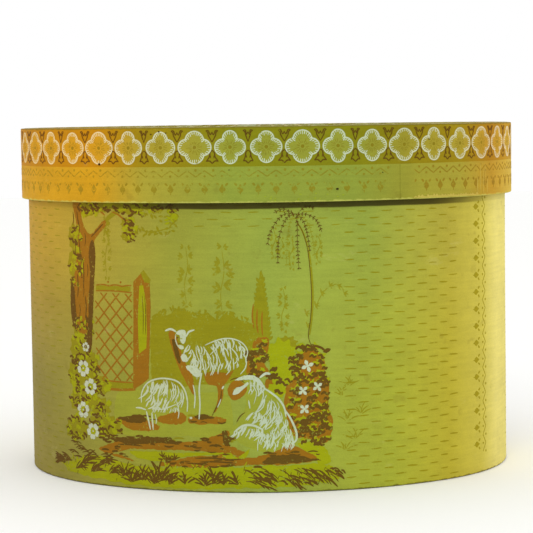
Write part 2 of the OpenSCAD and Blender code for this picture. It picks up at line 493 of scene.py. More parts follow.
def clump(block, x, y, width, height, seed, lobes=9):
    """A rounded mass of foliage with a lobed outline."""
    rng = random.Random(seed)
    outline = []
    for k in range(lobes * 2):
        angle = math.pi * k / lobes
        reach = (1.0 if k % 2 else 0.82) * rng.uniform(0.92, 1.08)
        outline.append((x + width / 2 * reach * math.cos(angle), y + height / 2 * reach * math.sin(angle)))
    block.area(outline, ragged=0.6, seed=seed)


def scattered(x, y, width, height, count, rng):
    """Places spread over an oval patch, thinner towards its edge."""
    for _ in range(count):
        angle, reach = rng.uniform(0, 2 * math.pi), math.sqrt(rng.random())
        yield x + width / 2 * reach * math.cos(angle), y + height / 2 * reach * math.sin(angle)


def foliage(ink, x, y, width, height, seed, density=1.0, base="olive", light="bright"):
    """Foliage as the blocks cut it: a mass, light leaves in fans, and dark crescents between them."""
    rng = random.Random(seed)
    clump(getattr(ink, base), x, y, width, height, seed)
    count = int(width * height / 34 * density)
    for px, py in scattered(x, y, width * 0.98, height * 0.98, count, rng):
        tilt = rng.uniform(-70, 60)
        for fan in (-34, 0, 34):
            heading = math.radians(tilt + fan)
            getattr(ink, light).leaf(px + 1.9 * math.cos(heading), py + 1.9 * math.sin(heading),
                                     rng.uniform(3.4, 4.8), rng.uniform(1.3, 1.9), tilt + fan)
    for px, py in scattered(x, y, width * 0.94, height * 0.94, int(count * 0.8), rng):
        tilt, size = rng.uniform(-60, 40), rng.uniform(3.0, 5.6)
        bend = rng.choice((-1, 1)) * size * rng.uniform(0.18, 0.4)
        path = turned([(-size / 2, 0), (0, bend), (size / 2, 0)], tilt, (px, py))
        ink.brown.stroke(path, rng.uniform(1.3, 2.3), tip=0.3)
        if rng.random() < 0.6:
            ink.brown.dot(path[-1][0] + 0.6, path[-1][1] - 0.9, rng.uniform(0.7, 1.2), 0.7)


def trunk(ink):
    """The tree at the left: a forked trunk, shaded on its right, with bark lines and limbs."""
    ink.rust.area([(-177, 236), (-174, 222), (-171, 208), (-173, 190), (-177, 172), (-180, 154),
                   (-180, 140), (-176, 130), (-168, 126), (-162, 128), (-158, 148), (-156, 170),
                   (-154, 188), (-153, 203), (-147, 210), (-140, 217), (-142, 221), (-150, 214),
                   (-157, 209), (-163, 214), (-167, 224), (-167, 236)], ragged=0.5, seed=3)
    ink.brown.area([(-157, 202), (-154, 204), (-152, 192), (-154, 168), (-156, 140), (-158, 116),
                    (-161, 110), (-164, 118), (-161, 136), (-160, 156), (-158, 176), (-159, 192)],
                   ragged=0.5, seed=4)
    ink.brown.area([(-181, 168), (-177, 164), (-176, 150), (-175, 138), (-179, 132), (-182, 146)],
                   ragged=0.5, seed=5)
    ink.brown.stroke([(-156, 207), (-150, 212), (-143, 218)], 1.3, tip=0.3)
    for k in range(11):
        x, y = -177 + (k * 7 % 19), 222 - 8.5 * k
        ink.brown.stroke([(x, y + 5), (x + 0.8, y), (x - 0.3, y - 6)], 0.8, tip=0.2)
    for path in ([(-166, 190), (-165, 176), (-166, 164)], [(-170, 204), (-169, 194), (-169, 186)],
                 [(-173, 176), (-172, 166), (-173, 156)], [(-164, 158), (-163, 148), (-164, 140)],
                 [(-172, 228), (-171, 221), (-169, 214)]):
        ink.brown.stroke(path, 1.2)
    ink.olive.stroke([(-141, 220), (-133, 226), (-124, 230), (-116, 236)], 4.0, tip=0.6)
    ink.rust.stroke([(-134, 228), (-128, 226), (-122, 222), (-118, 221)], 1.4)
    ink.rust.stroke([(-152, 236), (-146, 229), (-141, 225)], 1.6)
    ink.olive.stroke([(-112, 216), (-100, 212), (-90, 213), (-78, 216)], 0.9)


def canopy(ink):
    """Sprays of leaves that hang into the picture from above."""
    for x, y, width, height, seed in ((-160, 230, 22, 14, 11), (-146, 232, 20, 10, 12),
                                      (-131, 233, 14, 7, 17), (-115, 231, 26, 11, 13),
                                      (-98, 233, 20, 7, 18), (-119, 218, 13, 12, 14),
                                      (-119, 208, 13, 9, 15), (-113, 213, 9, 8, 19)):
        foliage(ink, x, y, width, height, seed, 1.7)
    rng = random.Random(16)
    for x, y, width, height in ((-98, 229, 22, 12), (-82, 226, 18, 18), (-88, 212, 22, 7),
                                (-141, 214, 9, 16), (-104, 212, 14, 8), (-76, 219, 9, 8)):
        for px, py in scattered(x, y, width, height, int(width * height / 13), rng):
            ink.olive.leaf(px, py, rng.uniform(3.2, 5), rng.uniform(1.4, 2.2), rng.uniform(-70, 70))
    for px, py in scattered(-79, 224, 10, 16, 12, rng):
        ink.bright.leaf(px, py, 4.5, 2, rng.uniform(-50, 50))
    for px, py in scattered(-82, 231, 20, 7, 12, rng):
        ink.brown.leaf(px, py, 3.5, 1.6, rng.uniform(-50, 50))


def climber(ink):
    """Ivy up the trunk's left side, and over its foot."""
    foliage(ink, -176, 206, 17, 24, 21, 1.15)
    foliage(ink, -176, 184, 18, 28, 22, 1.15)
    foliage(ink, -178, 168, 10, 12, 23, 1.0)
    foliage(ink, -168, 132, 26, 22, 24, 1.1)
    foliage(ink, -173, 112, 24, 26, 25, 1.0)


def lattice(block, left, right, bottom, top, pitch, width):
    """Crossed slats between four edges."""
    rise = 1.05
    for lean in (-1, 1):
        reach = (top - bottom) / rise
        start = left - reach if lean > 0 else left
        count = int((right - left + reach) / pitch) + 2
        for k in range(count):
            x = start + k * pitch
            ends = []
            for y, at_x in ((bottom, x), (top, x + reach)) if lean > 0 else ((top, x - reach), (bottom, x)):
                ends.append((at_x, y))
            (ax, ay), (bx, by) = ends
            if max(ax, bx) <= left or min(ax, bx) >= right:
                continue
            low, high = max(ax, left), min(bx, right)
            cut = [(x2, ay + (by - ay) * (x2 - ax) / (bx - ax)) for x2 in (low, high)]
            if high - low > 2:
                middle = ((cut[0][0] + cut[1][0]) / 2, (cut[0][1] + cut[1][1]) / 2)
                block.stroke([cut[0], middle, cut[1]], width, tip=0.8, steps=2)


def gate(ink):
    """The lattice gate with its scalloped rail, and the tall post beside it."""
    lattice(ink.rust, -153, -116, 89, 161, 12.4, 1.25)
    scallops = [(-152 + 4.5 * k, 168.6 - 1.6 * abs(math.cos(math.pi * k / 3))) for k in range(9)]
    ink.rust.stroke(scallops, 1.2, tip=0.6)
    ink.rust.stroke([(-152, 162.5), (-134, 163), (-116, 162)], 1.2, tip=0.8)
    ink.rust.stroke([(-146, 88.5), (-130, 88), (-116, 88)], 1.3, tip=0.8)
    ink.rust.stroke([(-141, 81.5), (-128, 81.5), (-114, 82.5)], 2.2, tip=0.8)
    for x in (-139, -126.5):
        ink.rust.dot(x, 170.2, 0.9)
    ink.olive.area([(-152, 167), (-117, 167), (-117, 163), (-152, 163)], soft=False)
    ink.olive.area([(-145, 88), (-116, 88), (-116, 82), (-142, 82)], soft=False)
    ink.rust.area([(-114, 171), (-107, 178), (-104, 171), (-99, 170), (-98.5, 150), (-100, 120),
                   (-101.5, 92), (-108, 87), (-116, 82), (-115.5, 110), (-114.5, 140)], soft=False,
                  ragged=0.3, seed=31)
    ink.olive.area([(-107, 178.5), (-104.5, 181), (-98, 173), (-99, 170), (-108, 170)], soft=False)
    ink.bright.area([(-108.5, 168), (-105, 168.5), (-102.5, 155), (-102.2, 130), (-103, 117), (-110, 112),
                     (-110.5, 140)], soft=False)
    ink.rust.stroke([(-105.5, 164), (-104.5, 148), (-105, 126)], 0.9)
    for x in (-105.8, -103.6):
        ink.brown.stroke([(x, 160), (x + 0.5, 145), (x, 128)], 0.6)


def rambler(ink):
    """The flowering bush in the left corner."""
    foliage(ink, -176, 92, 24, 26, 41, 0.9)
    foliage(ink, -160, 100, 20, 26, 42, 0.9)
    foliage(ink, -152, 84, 30, 18, 43, 1.2)
    foliage(ink, -170, 70, 34, 24, 44, 1.0)
    foliage(ink, -150, 66, 24, 18, 45, 1.0)
    foliage(ink, -146, 50, 38, 20, 46, 1.1)
    foliage(ink, -178, 46, 32, 22, 47, 0.9)
    for x, y, size in ((-164.5, 115, 4.4), (-168, 97, 7.6), (-160, 82, 7.6), (-169, 62, 7.6),
                       (-158, 45, 7.4)):
        rose(ink, x, y, size, int(-x))


def rose(ink, x, y, size, seed, petals=5):
    """An open flower: separate white petals, each with a notch, round a green eye."""
    rng = random.Random(seed)
    turn = rng.uniform(0, 70)
    for k in range(petals):
        heading = turn + 360 * k / petals
        across, up = math.cos(math.radians(heading)), math.sin(math.radians(heading))
        for side in (-1, 1):
            px = x + size * (0.64 * across - side * 0.15 * up)
            py = y + size * (0.64 * up + side * 0.15 * across)
            ink.white.dot(px, py, size * rng.uniform(0.25, 0.31), 0.8, heading)
    ink.bright.dot(x, y, size * 0.75)
    ink.white.dot(x, y, size * 0.1)


def cross_flower(ink, x, y, size, angle):
    """A small four-petalled flower."""
    for k in range(4):
        heading = angle + 90 * k
        across, up = math.cos(math.radians(heading)), math.sin(math.radians(heading))
        ink.white.leaf(x + size * 0.55 * across, y + size * 0.55 * up, size * 0.95, size * 0.6, heading)


def hedge(ink):
    """Clipped hedge behind the flock, with the pointed evergreen at its end."""
    ink.olive.area([(-98, 92), (-98, 138), (-92, 146), (-84, 144), (-76, 149), (-66, 147), (-60, 143),
                    (-50, 147), (-42, 141), (-34, 146), (-24, 141), (-16, 139), (-10, 132), (-8, 112),
                    (-12, 96), (-30, 90), (-60, 88), (-80, 84)], ragged=1.2, seed=51)
    ink.olive.area([(-14, 124), (-13, 142), (-10, 160), (-7, 176), (-5.5, 181), (-4, 176), (-2, 158),
                    (0, 140), (0.5, 126), (-6, 120)], ragged=0.8, seed=52)
    rng = random.Random(53)
    for x, y in ((-94, 141), (-86, 146), (-78, 149), (-70, 149), (-62, 146), (-54, 146), (-46, 144),
                 (-38, 145), (-30, 145), (-21, 141), (-13, 136)):
        for k in range(9):
            lean = rng.uniform(20, 160)
            ink.olive.leaf(x + rng.uniform(-5, 5), y + rng.uniform(-3, 2.5), rng.uniform(3, 5), 1.7, lean)
    for side in (-1, 1):
        for k in range(13):
            up = 126 + 3.9 * k
            ink.olive.leaf(-6 + side * (7.4 - 0.45 * k), up, rng.uniform(4, 6.5), 2.4,
                           90 - side * rng.uniform(14, 48))
    for path in ([(-12, 154), (-13, 144), (-12, 134)], [(-9, 150), (-9.5, 138), (-8.5, 130)],
                 [(-5, 148), (-5.5, 138), (-5, 128)]):
        ink.rust.stroke(path, 1.3)


def hanging_spray(block, x, top, bottom, size, seed):
    """A faint stem with pairs of narrow leaves that hangs behind the picture."""
    rng = random.Random(seed)
    path = [(x, top), (x + 1.5, (2 * top + bottom) / 3), (x - 1.5, (top + 2 * bottom) / 3), (x, bottom)]
    block.stroke(path, 0.7)
    count = int((top - bottom) / (size * 0.72))
    for k in range(count + 1):
        y = top - (top - bottom) * k / count
        wide = size * (0.6 + 0.4 * math.sin(math.pi * k / count))
        for side in (-1, 1):
            out = rng.uniform(0.08, 0.3) * wide * side
            lift = rng.uniform(-0.3, 0.3) * wide
            for lean in (52, 8, -38):
                heading = math.radians(90 - side * (90 - lean - rng.uniform(-12, 12)))
                block.leaf(x + out + wide * 0.2 * math.cos(heading),
                           y + lift + wide * 0.2 * math.sin(heading), wide * rng.uniform(0.4, 0.6),
                           wide * 0.19, math.degrees(heading))


def weeping_tree(ink):
    """A slender tree whose fronds fall from its crown like a fountain."""
    ink.brown.stroke([(23, 221), (28, 212), (32, 198), (34, 180), (35, 160), (34, 142), (32, 128),
                      (34, 120)], 0.55, tip=0.7)
    ink.olive.stroke([(24, 219), (29, 210), (33, 196), (35, 180), (36, 160), (35, 142), (33, 128)], 1.5,
                     tip=0.6)
    crown = (23, 226)
    falls = (((12, 225), (3, 213), (0, 202)), ((15, 222), (9, 206), (8, 186)),
             ((19, 221), (16, 206), (15, 184)), ((24, 219), (24, 202), (25, 181)),
             ((29, 220), (32, 210), (34, 196)), ((33, 225), (40, 220), (44, 211)),
             ((31, 221), (36, 208), (38, 190)))
    for n, fall in enumerate(falls):
        colour = ink.faint if n in (2, 6) else ink.brown
        frond(colour, [crown, *fall], 60 + n)
    for path in ([(21, 226), (13, 230), (5, 227)], [(26, 228), (32, 232), (38, 230)]):
        frond(ink.brown, path, 70 + int(path[-1][1]))
    for x, top, bottom in ((5, 214, 190), (19, 208, 182), (41, 208, 186), (11, 206, 190)):
        hanging_spray(ink.faint, x, top, bottom, 6, int(x))


def frond(block, points, seed):
    """A drooping frond: a fine midrib with short ticks on both sides."""
    rng = random.Random(seed)
    path = curve(points, steps=8)
    block.stroke(points, 0.36, tip=0.7)
    reached = 0.0
    for (ax, ay), (bx, by) in zip(path, path[1:]):
        reached += math.hypot(bx - ax, by - ay)
        if reached < 2.5:
            continue
        reached = 0.0
        heading = math.degrees(math.atan2(by - ay, bx - ax))
        for side in (-1, 1):
            tilt = heading + side * rng.uniform(38, 62)
            reach = rng.uniform(1.6, 2.5)
            block.leaf(ax + reach * 0.5 * math.cos(math.radians(tilt)),
                       ay + reach * 0.5 * math.sin(math.radians(tilt)), reach, 0.72, tilt)


def rose_bush(ink):
    """The bush at the right of the flock: light foliage at its left, dark stems and small flowers."""
    ink.rust.area([(-12, 124), (-6, 127), (0, 125), (-1, 114), (-4, 106), (0, 98), (-10, 94), (-18, 97),
                   (-17, 110), (-14, 116)], ragged=0.8, seed=81)
    ink.rust.area([(33, 119), (26, 113), (22, 104), (16, 96), (13, 84), (12, 70), (15, 56), (20, 46),
                   (30, 44), (42, 39), (49, 44), (51, 58), (47, 70), (49, 86), (45, 98), (44, 110),
                   (38, 117)], ragged=1.4, seed=82)
    clump(ink.bright, 10, 112, 26, 30, 83)
    clump(ink.bright, 10, 96, 20, 18, 84)
    clump(ink.olive, 15, 121, 18, 14, 85)
    clump(ink.bright, 6, 84, 16, 14, 86)
    bush_marks(ink, (-9, 108, 18, 32), 30, 87, 0.5)
    bush_marks(ink, (6, 92, 20, 20), 13, 88, 0.7)
    bush_marks(ink, (19, 102, 8, 22), 9, 89, 0.6)
    bush_marks(ink, (32, 82, 33, 80), 84, 90, 0.7)
    bush_marks(ink, (36, 50, 32, 24), 34, 91, 0.6)
    rng = random.Random(92)
    for px, py in scattered(8, 104, 22, 40, 26, rng):
        ink.olive.dot(px, py, rng.uniform(0.8, 1.6), 0.7, rng.uniform(0, 90))
    ink.brown.stroke([(34, 120), (38, 119), (43, 117), (47, 113)], 2.0)
    ink.brown.leaf(47, 115, 7, 3.5, 20)
    for x, y, size, angle in ((31, 103, 5.2, 20), (27, 83, 4.4, 40), (39, 86, 4.4, 35), (28, 68, 4.6, 45)):
        cross_flower(ink, x, y, size, angle)
        ink.white.dot(x, y, 1.1)


def bush_marks(ink, patch, count, seed, light):
    """Dark crescents with light leaves beside them, over a patch of bush."""
    rng = random.Random(seed)
    for px, py in scattered(*patch, count, rng):
        tilt, size = rng.uniform(-45, 30), rng.uniform(4.0, 8.0)
        path = turned([(-size / 2, -1), (-size / 6, 1), (size / 5, -0.6), (size / 2, 1)], tilt, (px, py))
        ink.brown.stroke(path, rng.uniform(1.6, 2.6), tip=0.35)
        if rng.random() < light:
            for fan in (-30, 10, 50):
                ink.bright.leaf(px + rng.uniform(-2, 2), py + rng.uniform(1, 3), rng.uniform(4, 5.5),
                                rng.uniform(1.5, 2.2), tilt + fan)


def combed(block, spine, lengths, spread, count, width, seed):
    """Locks of fleece that hang from a line, leaning by the spread in degrees."""
    rng = random.Random(seed)
    path = curve(spine, steps=10)
    count = round(2.4 * count)
    for k in range(count):
        share = (k + rng.uniform(0.1, 0.9)) / count
        x, y = path[int(share * (len(path) - 1))]
        y += rng.uniform(-0.5, 0.1) * lengths[0]
        size = (lengths[0] + (lengths[1] - lengths[0]) * share) * rng.choice((0.45, 0.7, 0.95, 1.15))
        heading = math.radians(spread[0] + (spread[1] - spread[0]) * share + rng.uniform(-16, 16))
        bend = math.radians(rng.uniform(-8, 34))
        middle = (x + size * 0.5 * math.cos(heading + bend), y + size * 0.5 * math.sin(heading + bend))
        end = (x + size * math.cos(heading), y + size * math.sin(heading))
        block.stroke([(x, y), middle, end], width * rng.uniform(0.34, 0.62), tip=0.2, steps=3)


def standing_sheep(ink):
    """The sheep that stands and looks to the left."""
    ink.pale.area([(-82, 132), (-77, 134), (-71, 132), (-65, 136), (-60, 136), (-63, 129), (-62, 123),
                   (-54, 122), (-46, 125), (-36, 128), (-26, 126), (-20, 120), (-18, 110), (-21, 100),
                   (-25, 95), (-34, 97), (-44, 96), (-52, 96), (-57, 92), (-64, 93), (-70, 98), (-75, 107),
                   (-78, 118)])
    ink.rust.area([(-83, 130), (-78, 131), (-74, 120), (-71, 111), (-68, 104), (-64, 98), (-62, 90),
                   (-62, 80), (-65, 84), (-69, 91), (-75, 103), (-80, 117)], ragged=0.4, seed=101)
    ink.brown.area([(-80, 124), (-77, 124), (-74, 114), (-73, 106), (-75, 106), (-78, 114)], ragged=0.4,
                   seed=102)
    ink.rust.area([(-53, 97), (-44, 99), (-34, 98), (-29, 100), (-33, 93), (-37, 87), (-38, 78), (-42, 70),
                   (-45, 66), (-42, 78), (-43, 87), (-50, 89)], ragged=0.4, seed=103)
    ink.brown.stroke([(-39, 84), (-40, 76), (-44, 69), (-47, 63)], 1.1)
    ink.white.stroke([(-52, 120.5), (-44, 124), (-36, 126), (-28, 125.5), (-21, 122), (-17.3, 116),
                      (-18.5, 110)], 1.1, tip=0.5)
    ink.white.stroke([(-18, 108), (-19.4, 102), (-23.5, 97)], 0.95)
    combed(ink.white, [(-60, 120), (-50, 120), (-40, 124), (-30, 124)], (17, 13), (-78, -70), 11, 2.0, 104)
    combed(ink.white, [(-46, 124), (-36, 126), (-25, 123), (-21, 117)], (9, 8), (-100, -80), 9, 2.3, 105)
    combed(ink.white, [(-58, 110), (-48, 109), (-36, 110), (-24, 110)], (11, 8), (-88, -102), 11, 1.8, 106)
    combed(ink.white, [(-66, 122), (-62, 116), (-60, 108)], (9, 12), (-120, -95), 6, 1.9, 107)
    ink.white.area([(-72.5, 111), (-70.5, 113.2), (-68, 112), (-66.8, 108), (-69, 106.6), (-71.5, 107.6)],
                   ragged=0.5, seed=108)
    ink.white.area([(-68.5, 103), (-62, 103.6), (-56.5, 99.5), (-55.5, 96), (-60, 94.5), (-64.5, 98)],
                   ragged=0.6, seed=109)
    ink.white.area([(-76.2, 130.6), (-73, 132.6), (-69, 132.4), (-67.8, 129), (-68.6, 123.5),
                    (-70.4, 121.2), (-72.6, 123.6), (-73.2, 128), (-75.4, 128.8)], ragged=0.3, seed=110)
    ink.white.stroke([(-76.6, 129), (-77, 125.5), (-75.8, 121), (-74.2, 118.4)], 0.85, tip=0.5)
    ink.white.area([(-75, 119.8), (-72.5, 120.4), (-70, 119), (-70.6, 117), (-73.4, 117.2)], ragged=0.3,
                   seed=111)
    ink.white.stroke([(-86, 131.5), (-81, 133.2), (-76, 131)], 1.8, tip=0.15)
    ink.white.stroke([(-67.6, 127), (-65.6, 131), (-60.4, 133)], 1.6, tip=0.15)
    ink.brown.dot(-75, 126.3, 0.95, 0.7)
    ink.brown.stroke([(-74.6, 122.2), (-73.4, 121.4), (-72, 121.2)], 0.6)
    ink.white.stroke([(-55, 98), (-56.8, 90), (-57.4, 83), (-57, 72), (-58, 60)], 1.3, tip=0.6)
    ink.white.stroke([(-62.5, 88), (-61, 79), (-61.8, 69)], 1.1, tip=0.6)
    ink.white.dot(-64.8, 61, 1.2, 0.8)
    ink.white.stroke([(-38.5, 85), (-37, 87.5)], 1.35, tip=0.5)
    ink.white.stroke([(-39.5, 77), (-41, 73), (-42.5, 70)], 0.9)


def grazing_sheep(ink):
    """The sheep that feeds with its head down."""
    ink.pale.area([(-113, 66), (-107, 74), (-107, 84), (-100, 91), (-90, 93), (-79, 92), (-71, 88),
                   (-67, 78), (-66, 64), (-70, 62), (-78, 68), (-90, 66), (-94, 60), (-97, 50), (-101, 49),
                   (-104, 57), (-107, 64)])
    ink.rust.area([(-93, 61), (-86, 63), (-76, 66), (-69, 62), (-72, 56), (-84, 55), (-93, 57)], ragged=0.8,
                  seed=111)
    ink.white.stroke([(-108.5, 72), (-108, 80), (-103, 88), (-94, 92), (-84, 92.5), (-75, 90), (-69.5, 83),
                      (-67.5, 74), (-68, 66)], 1.35, tip=0.5)
    combed(ink.white, [(-103, 88), (-94, 91), (-84, 91)], (11, 12), (-120, -104), 8, 2.6, 112)
    combed(ink.white, [(-88, 91), (-78, 89), (-71, 82)], (12, 13), (-100, -92), 7, 1.8, 113)
    combed(ink.white, [(-101, 78), (-92, 77), (-83, 78)], (9, 10), (-125, -112), 6, 2.6, 114)
    combed(ink.white, [(-98, 70), (-90, 69), (-80, 70), (-74, 71)], (5, 4), (-120, -100), 8, 1.5, 115)
    ink.white.stroke([(-100, 68), (-92, 67), (-84, 69), (-77, 72)], 1.05)
    ink.white.stroke([(-114, 67.5), (-109, 67.5), (-104, 66)], 1.35, tip=0.2)
    ink.white.stroke([(-98, 68), (-93.5, 68.5), (-90, 67)], 1.2, tip=0.2)
    ink.white.stroke([(-104, 65), (-102, 57), (-100.5, 50)], 1.42, tip=0.5)
    ink.white.stroke([(-99, 64), (-98.5, 56), (-98, 50)], 1.42, tip=0.5)
    ink.white.stroke([(-96, 63), (-95, 58), (-95.5, 55)], 0.9)
    ink.white.stroke([(-77, 75), (-75, 66), (-76, 60)], 0.9)
    ink.brown.dot(-103.6, 61, 0.7, 0.7)


def resting_sheep(ink):
    """The sheep that lies with its back to the right and looks round to the left."""
    ink.pale.area([(-32, 52), (-27, 57), (-22, 64), (-19, 74), (-21, 82), (-25, 90), (-20, 96), (-12, 97),
                   (-6, 92), (0, 84), (8, 78), (13, 70), (17, 60), (22, 50), (21, 40), (12, 35), (0, 33),
                   (-14, 36), (-26, 42)])
    ink.rust.area([(-34, 84), (-30, 91), (-24, 92), (-18, 86), (-22, 79), (-30, 76)], ragged=0.4, seed=121)
    ink.rust.area([(-3, 92), (2, 93), (6, 84), (3, 80), (-3, 86)], ragged=0.5, seed=122)
    ink.brown.stroke([(-32, 92), (-26, 94), (-20, 90)], 0.9)
    ink.white.area([(-28, 92), (-22, 95.5), (-13, 96), (-7, 92), (-4, 86), (-8, 88), (-12, 92),
                    (-20, 92.5)], ragged=0.4, seed=123)
    combed(ink.white, [(-16, 95), (-9, 93), (-4, 87)], (16, 10), (-95, -110), 6, 2.1, 124)
    ink.white.area([(-30, 81), (-27, 86), (-22, 87.5), (-18, 90.5), (-17, 89), (-21, 85), (-26, 81)],
                   ragged=0.4, seed=125)
    ink.brown.dot(-24, 86.8, 0.8, 0.7)
    ink.white.stroke([(-8, 94), (-3, 97.5), (1, 97)], 2.1, tip=0.2)
    ink.white.stroke([(-5, 86), (1, 82), (7, 77), (11.5, 70), (13, 62)], 1.65, tip=0.4)
    ink.white.stroke([(12, 68), (17, 60), (21, 50), (21, 43), (17.5, 40)], 1.8, tip=0.4)
    ink.white.stroke([(-17, 76), (-16, 69)], 1.2)
    combed(ink.white, [(-4, 80), (3, 76), (9, 70)], (15, 14), (-112, -100), 8, 1.9, 126)
    combed(ink.white, [(-14, 66), (-8, 66), (-2, 62)], (8, 8), (-125, -112), 7, 2.5, 127)
    combed(ink.white, [(-2, 64), (7, 62), (14, 59)], (10, 9), (-122, -108), 8, 1.9, 128)
    ink.white.stroke([(-29, 50), (-22, 55), (-14, 55.5), (-6, 52)], 1.95, tip=0.4)
    combed(ink.white, [(-29, 51), (-20, 55), (-10, 53), (-4, 50)], (6, 9), (-110, -118), 11, 2.3, 129)
    combed(ink.white, [(-8, 52), (2, 54), (12, 54), (18, 50)], (12, 10), (-104, -98), 12, 1.9, 130)
    combed(ink.white, [(-8, 43), (2, 43), (12, 42), (19, 44)], (6, 6), (-100, -95), 9, 1.6, 131)
    ink.brown.stroke([(-27, 58), (-24, 63), (-20, 66)], 0.8)


def ground(ink):
    """Bands of bare earth and pale turf, one behind another."""
    ink.pale.area([(-130, 80), (-100, 82), (-60, 82), (-35, 80), (-30, 60), (-36, 44), (-70, 46),
                   (-120, 44), (-134, 52)], ragged=1.0, seed=141)
    bands = ((ink.rust, [(-134, 57), (-124, 59), (-112, 58), (-98, 56), (-92, 52), (-100, 49), (-116, 49),
                         (-128, 53)]),
             (ink.brown, [(-132, 58), (-120, 60), (-110, 62), (-104, 58), (-110, 55), (-124, 56)]),
             (ink.rust, [(-66, 61), (-54, 63), (-42, 62), (-35, 60), (-40, 57), (-56, 56), (-66, 57)]),
             (ink.brown, [(-62, 62), (-56, 64), (-49, 63), (-52, 60), (-58, 60)]),
             (ink.rust, [(-152, 30), (-146, 34), (-132, 38), (-110, 40), (-88, 41), (-60, 42), (-38, 50),
                         (-33, 50), (-34, 40), (-26, 36), (-20, 33), (-22, 31), (-40, 31), (-60, 34),
                         (-90, 34), (-120, 33), (-140, 28)]),
             (ink.brown, [(-142, 40), (-130, 42), (-116, 42), (-100, 44), (-84, 43), (-76, 40), (-96, 39),
                          (-120, 37)]),
             (ink.brown, [(-39, 50), (-35, 51), (-34, 44), (-33, 39), (-37, 40)]),
             (ink.rust, [(-78, 26), (-66, 29), (-48, 30), (-30, 30), (-16, 29), (-6, 31), (6, 35), (16, 40),
                         (22, 37), (34, 31), (40, 28), (34, 25), (10, 23), (-20, 23), (-42, 21), (-56, 19),
                         (-70, 21), (-90, 20), (-92, 23)]),
             (ink.brown, [(-2, 29), (8, 31), (20, 31), (33, 27), (30, 25), (10, 24), (-6, 24)]),
             (ink.rust, [(-140, 28), (-128, 27), (-116, 23), (-124, 24), (-136, 26)]), )
    for number, (block, outline) in enumerate(bands):
        block.area(outline, ragged=1.1, seed=150 + number)
    rng = random.Random(165)
    for left, right, low, high, count in ((-150, -40, 37, 44, 46), (-134, -96, 54, 61, 16),
                                          (-66, -38, 57, 63, 12), (-92, -8, 20, 27, 34),
                                          (-4, 40, 25, 33, 26), (-40, -30, 36, 50, 8),
                                          (-60, -30, 30, 40, 12), (-146, -122, 26, 34, 9)):
        for k in range(count):
            x, y = rng.uniform(left, right), rng.uniform(low, high)
            size, colour = rng.uniform(3, 9), rng.choice((ink.brown, ink.brown, ink.olive))
            colour.stroke([(x - size / 2, y), (x, y + rng.uniform(-0.9, 0.9)),
                           (x + size / 2, y + rng.uniform(-0.6, 0.6))], rng.uniform(0.7, 1.9), tip=0.3,
                          steps=3)
    for path in ([(-62, 28), (-48, 28.5), (-34, 27.5), (-22, 28)], [(-58, 25), (-44, 25.5), (-28, 24.5)],
                 [(-70, 24), (-60, 23.5), (-52, 24)], [(-132, 36), (-120, 36.5), (-108, 36)]):
        ink.brown.stroke(path, 1.3)
    ink.bright.area([(-39, 31), (-33, 33), (-29, 30), (-22, 28), (-18, 32), (-17, 36), (-21, 33), (-24, 31),
                     (-29, 27), (-35, 28)], ragged=0.4, seed=161)
    ink.bright.area([(-120, 31), (-96, 32), (-74, 32), (-52, 33), (-38, 33), (-44, 31), (-70, 29),
                     (-82, 26), (-96, 24), (-112, 26)], ragged=1.0, seed=162)
    ink.bright.area([(22, 40), (32, 41), (42, 38), (47, 32), (49, 24), (40, 22), (36, 30), (28, 34)],
                    ragged=1.0, seed=163)
    rng = random.Random(164)
    for x, y in ((-90, 28), (-84, 26), (-79, 27), (-86, 24)):
        for lean in (-70, -30, 10, 50):
            ink.brown.leaf(x + 2 * math.cos(math.radians(90 + lean)),
                           y + 2 * math.sin(math.radians(90 + lean)), rng.uniform(4, 6.5), 1.2, 90 + lean)


def tuft(block, x, y, count, reach, spread, width, seed):
    """Blades that fan out from one root, each curving over at its tip."""
    rng = random.Random(seed)
    for k in range(count):
        heading = spread[0] + (spread[1] - spread[0]) * (k + rng.uniform(0.2, 0.8)) / count
        size = reach * rng.uniform(0.65, 1.1)
        a, b = math.radians(heading), math.radians(heading + (-16 if heading < 90 else 16))
        root = (x + rng.uniform(-2, 2), y + rng.uniform(-1, 1))
        middle = (root[0] + size * 0.55 * math.cos(a), root[1] + size * 0.55 * math.sin(a))
        end = (middle[0] + size * 0.5 * math.cos(b), middle[1] + size * 0.5 * math.sin(b))
        block.stroke([root, middle, end], width * rng.uniform(0.7, 1.2), tip=0.1)


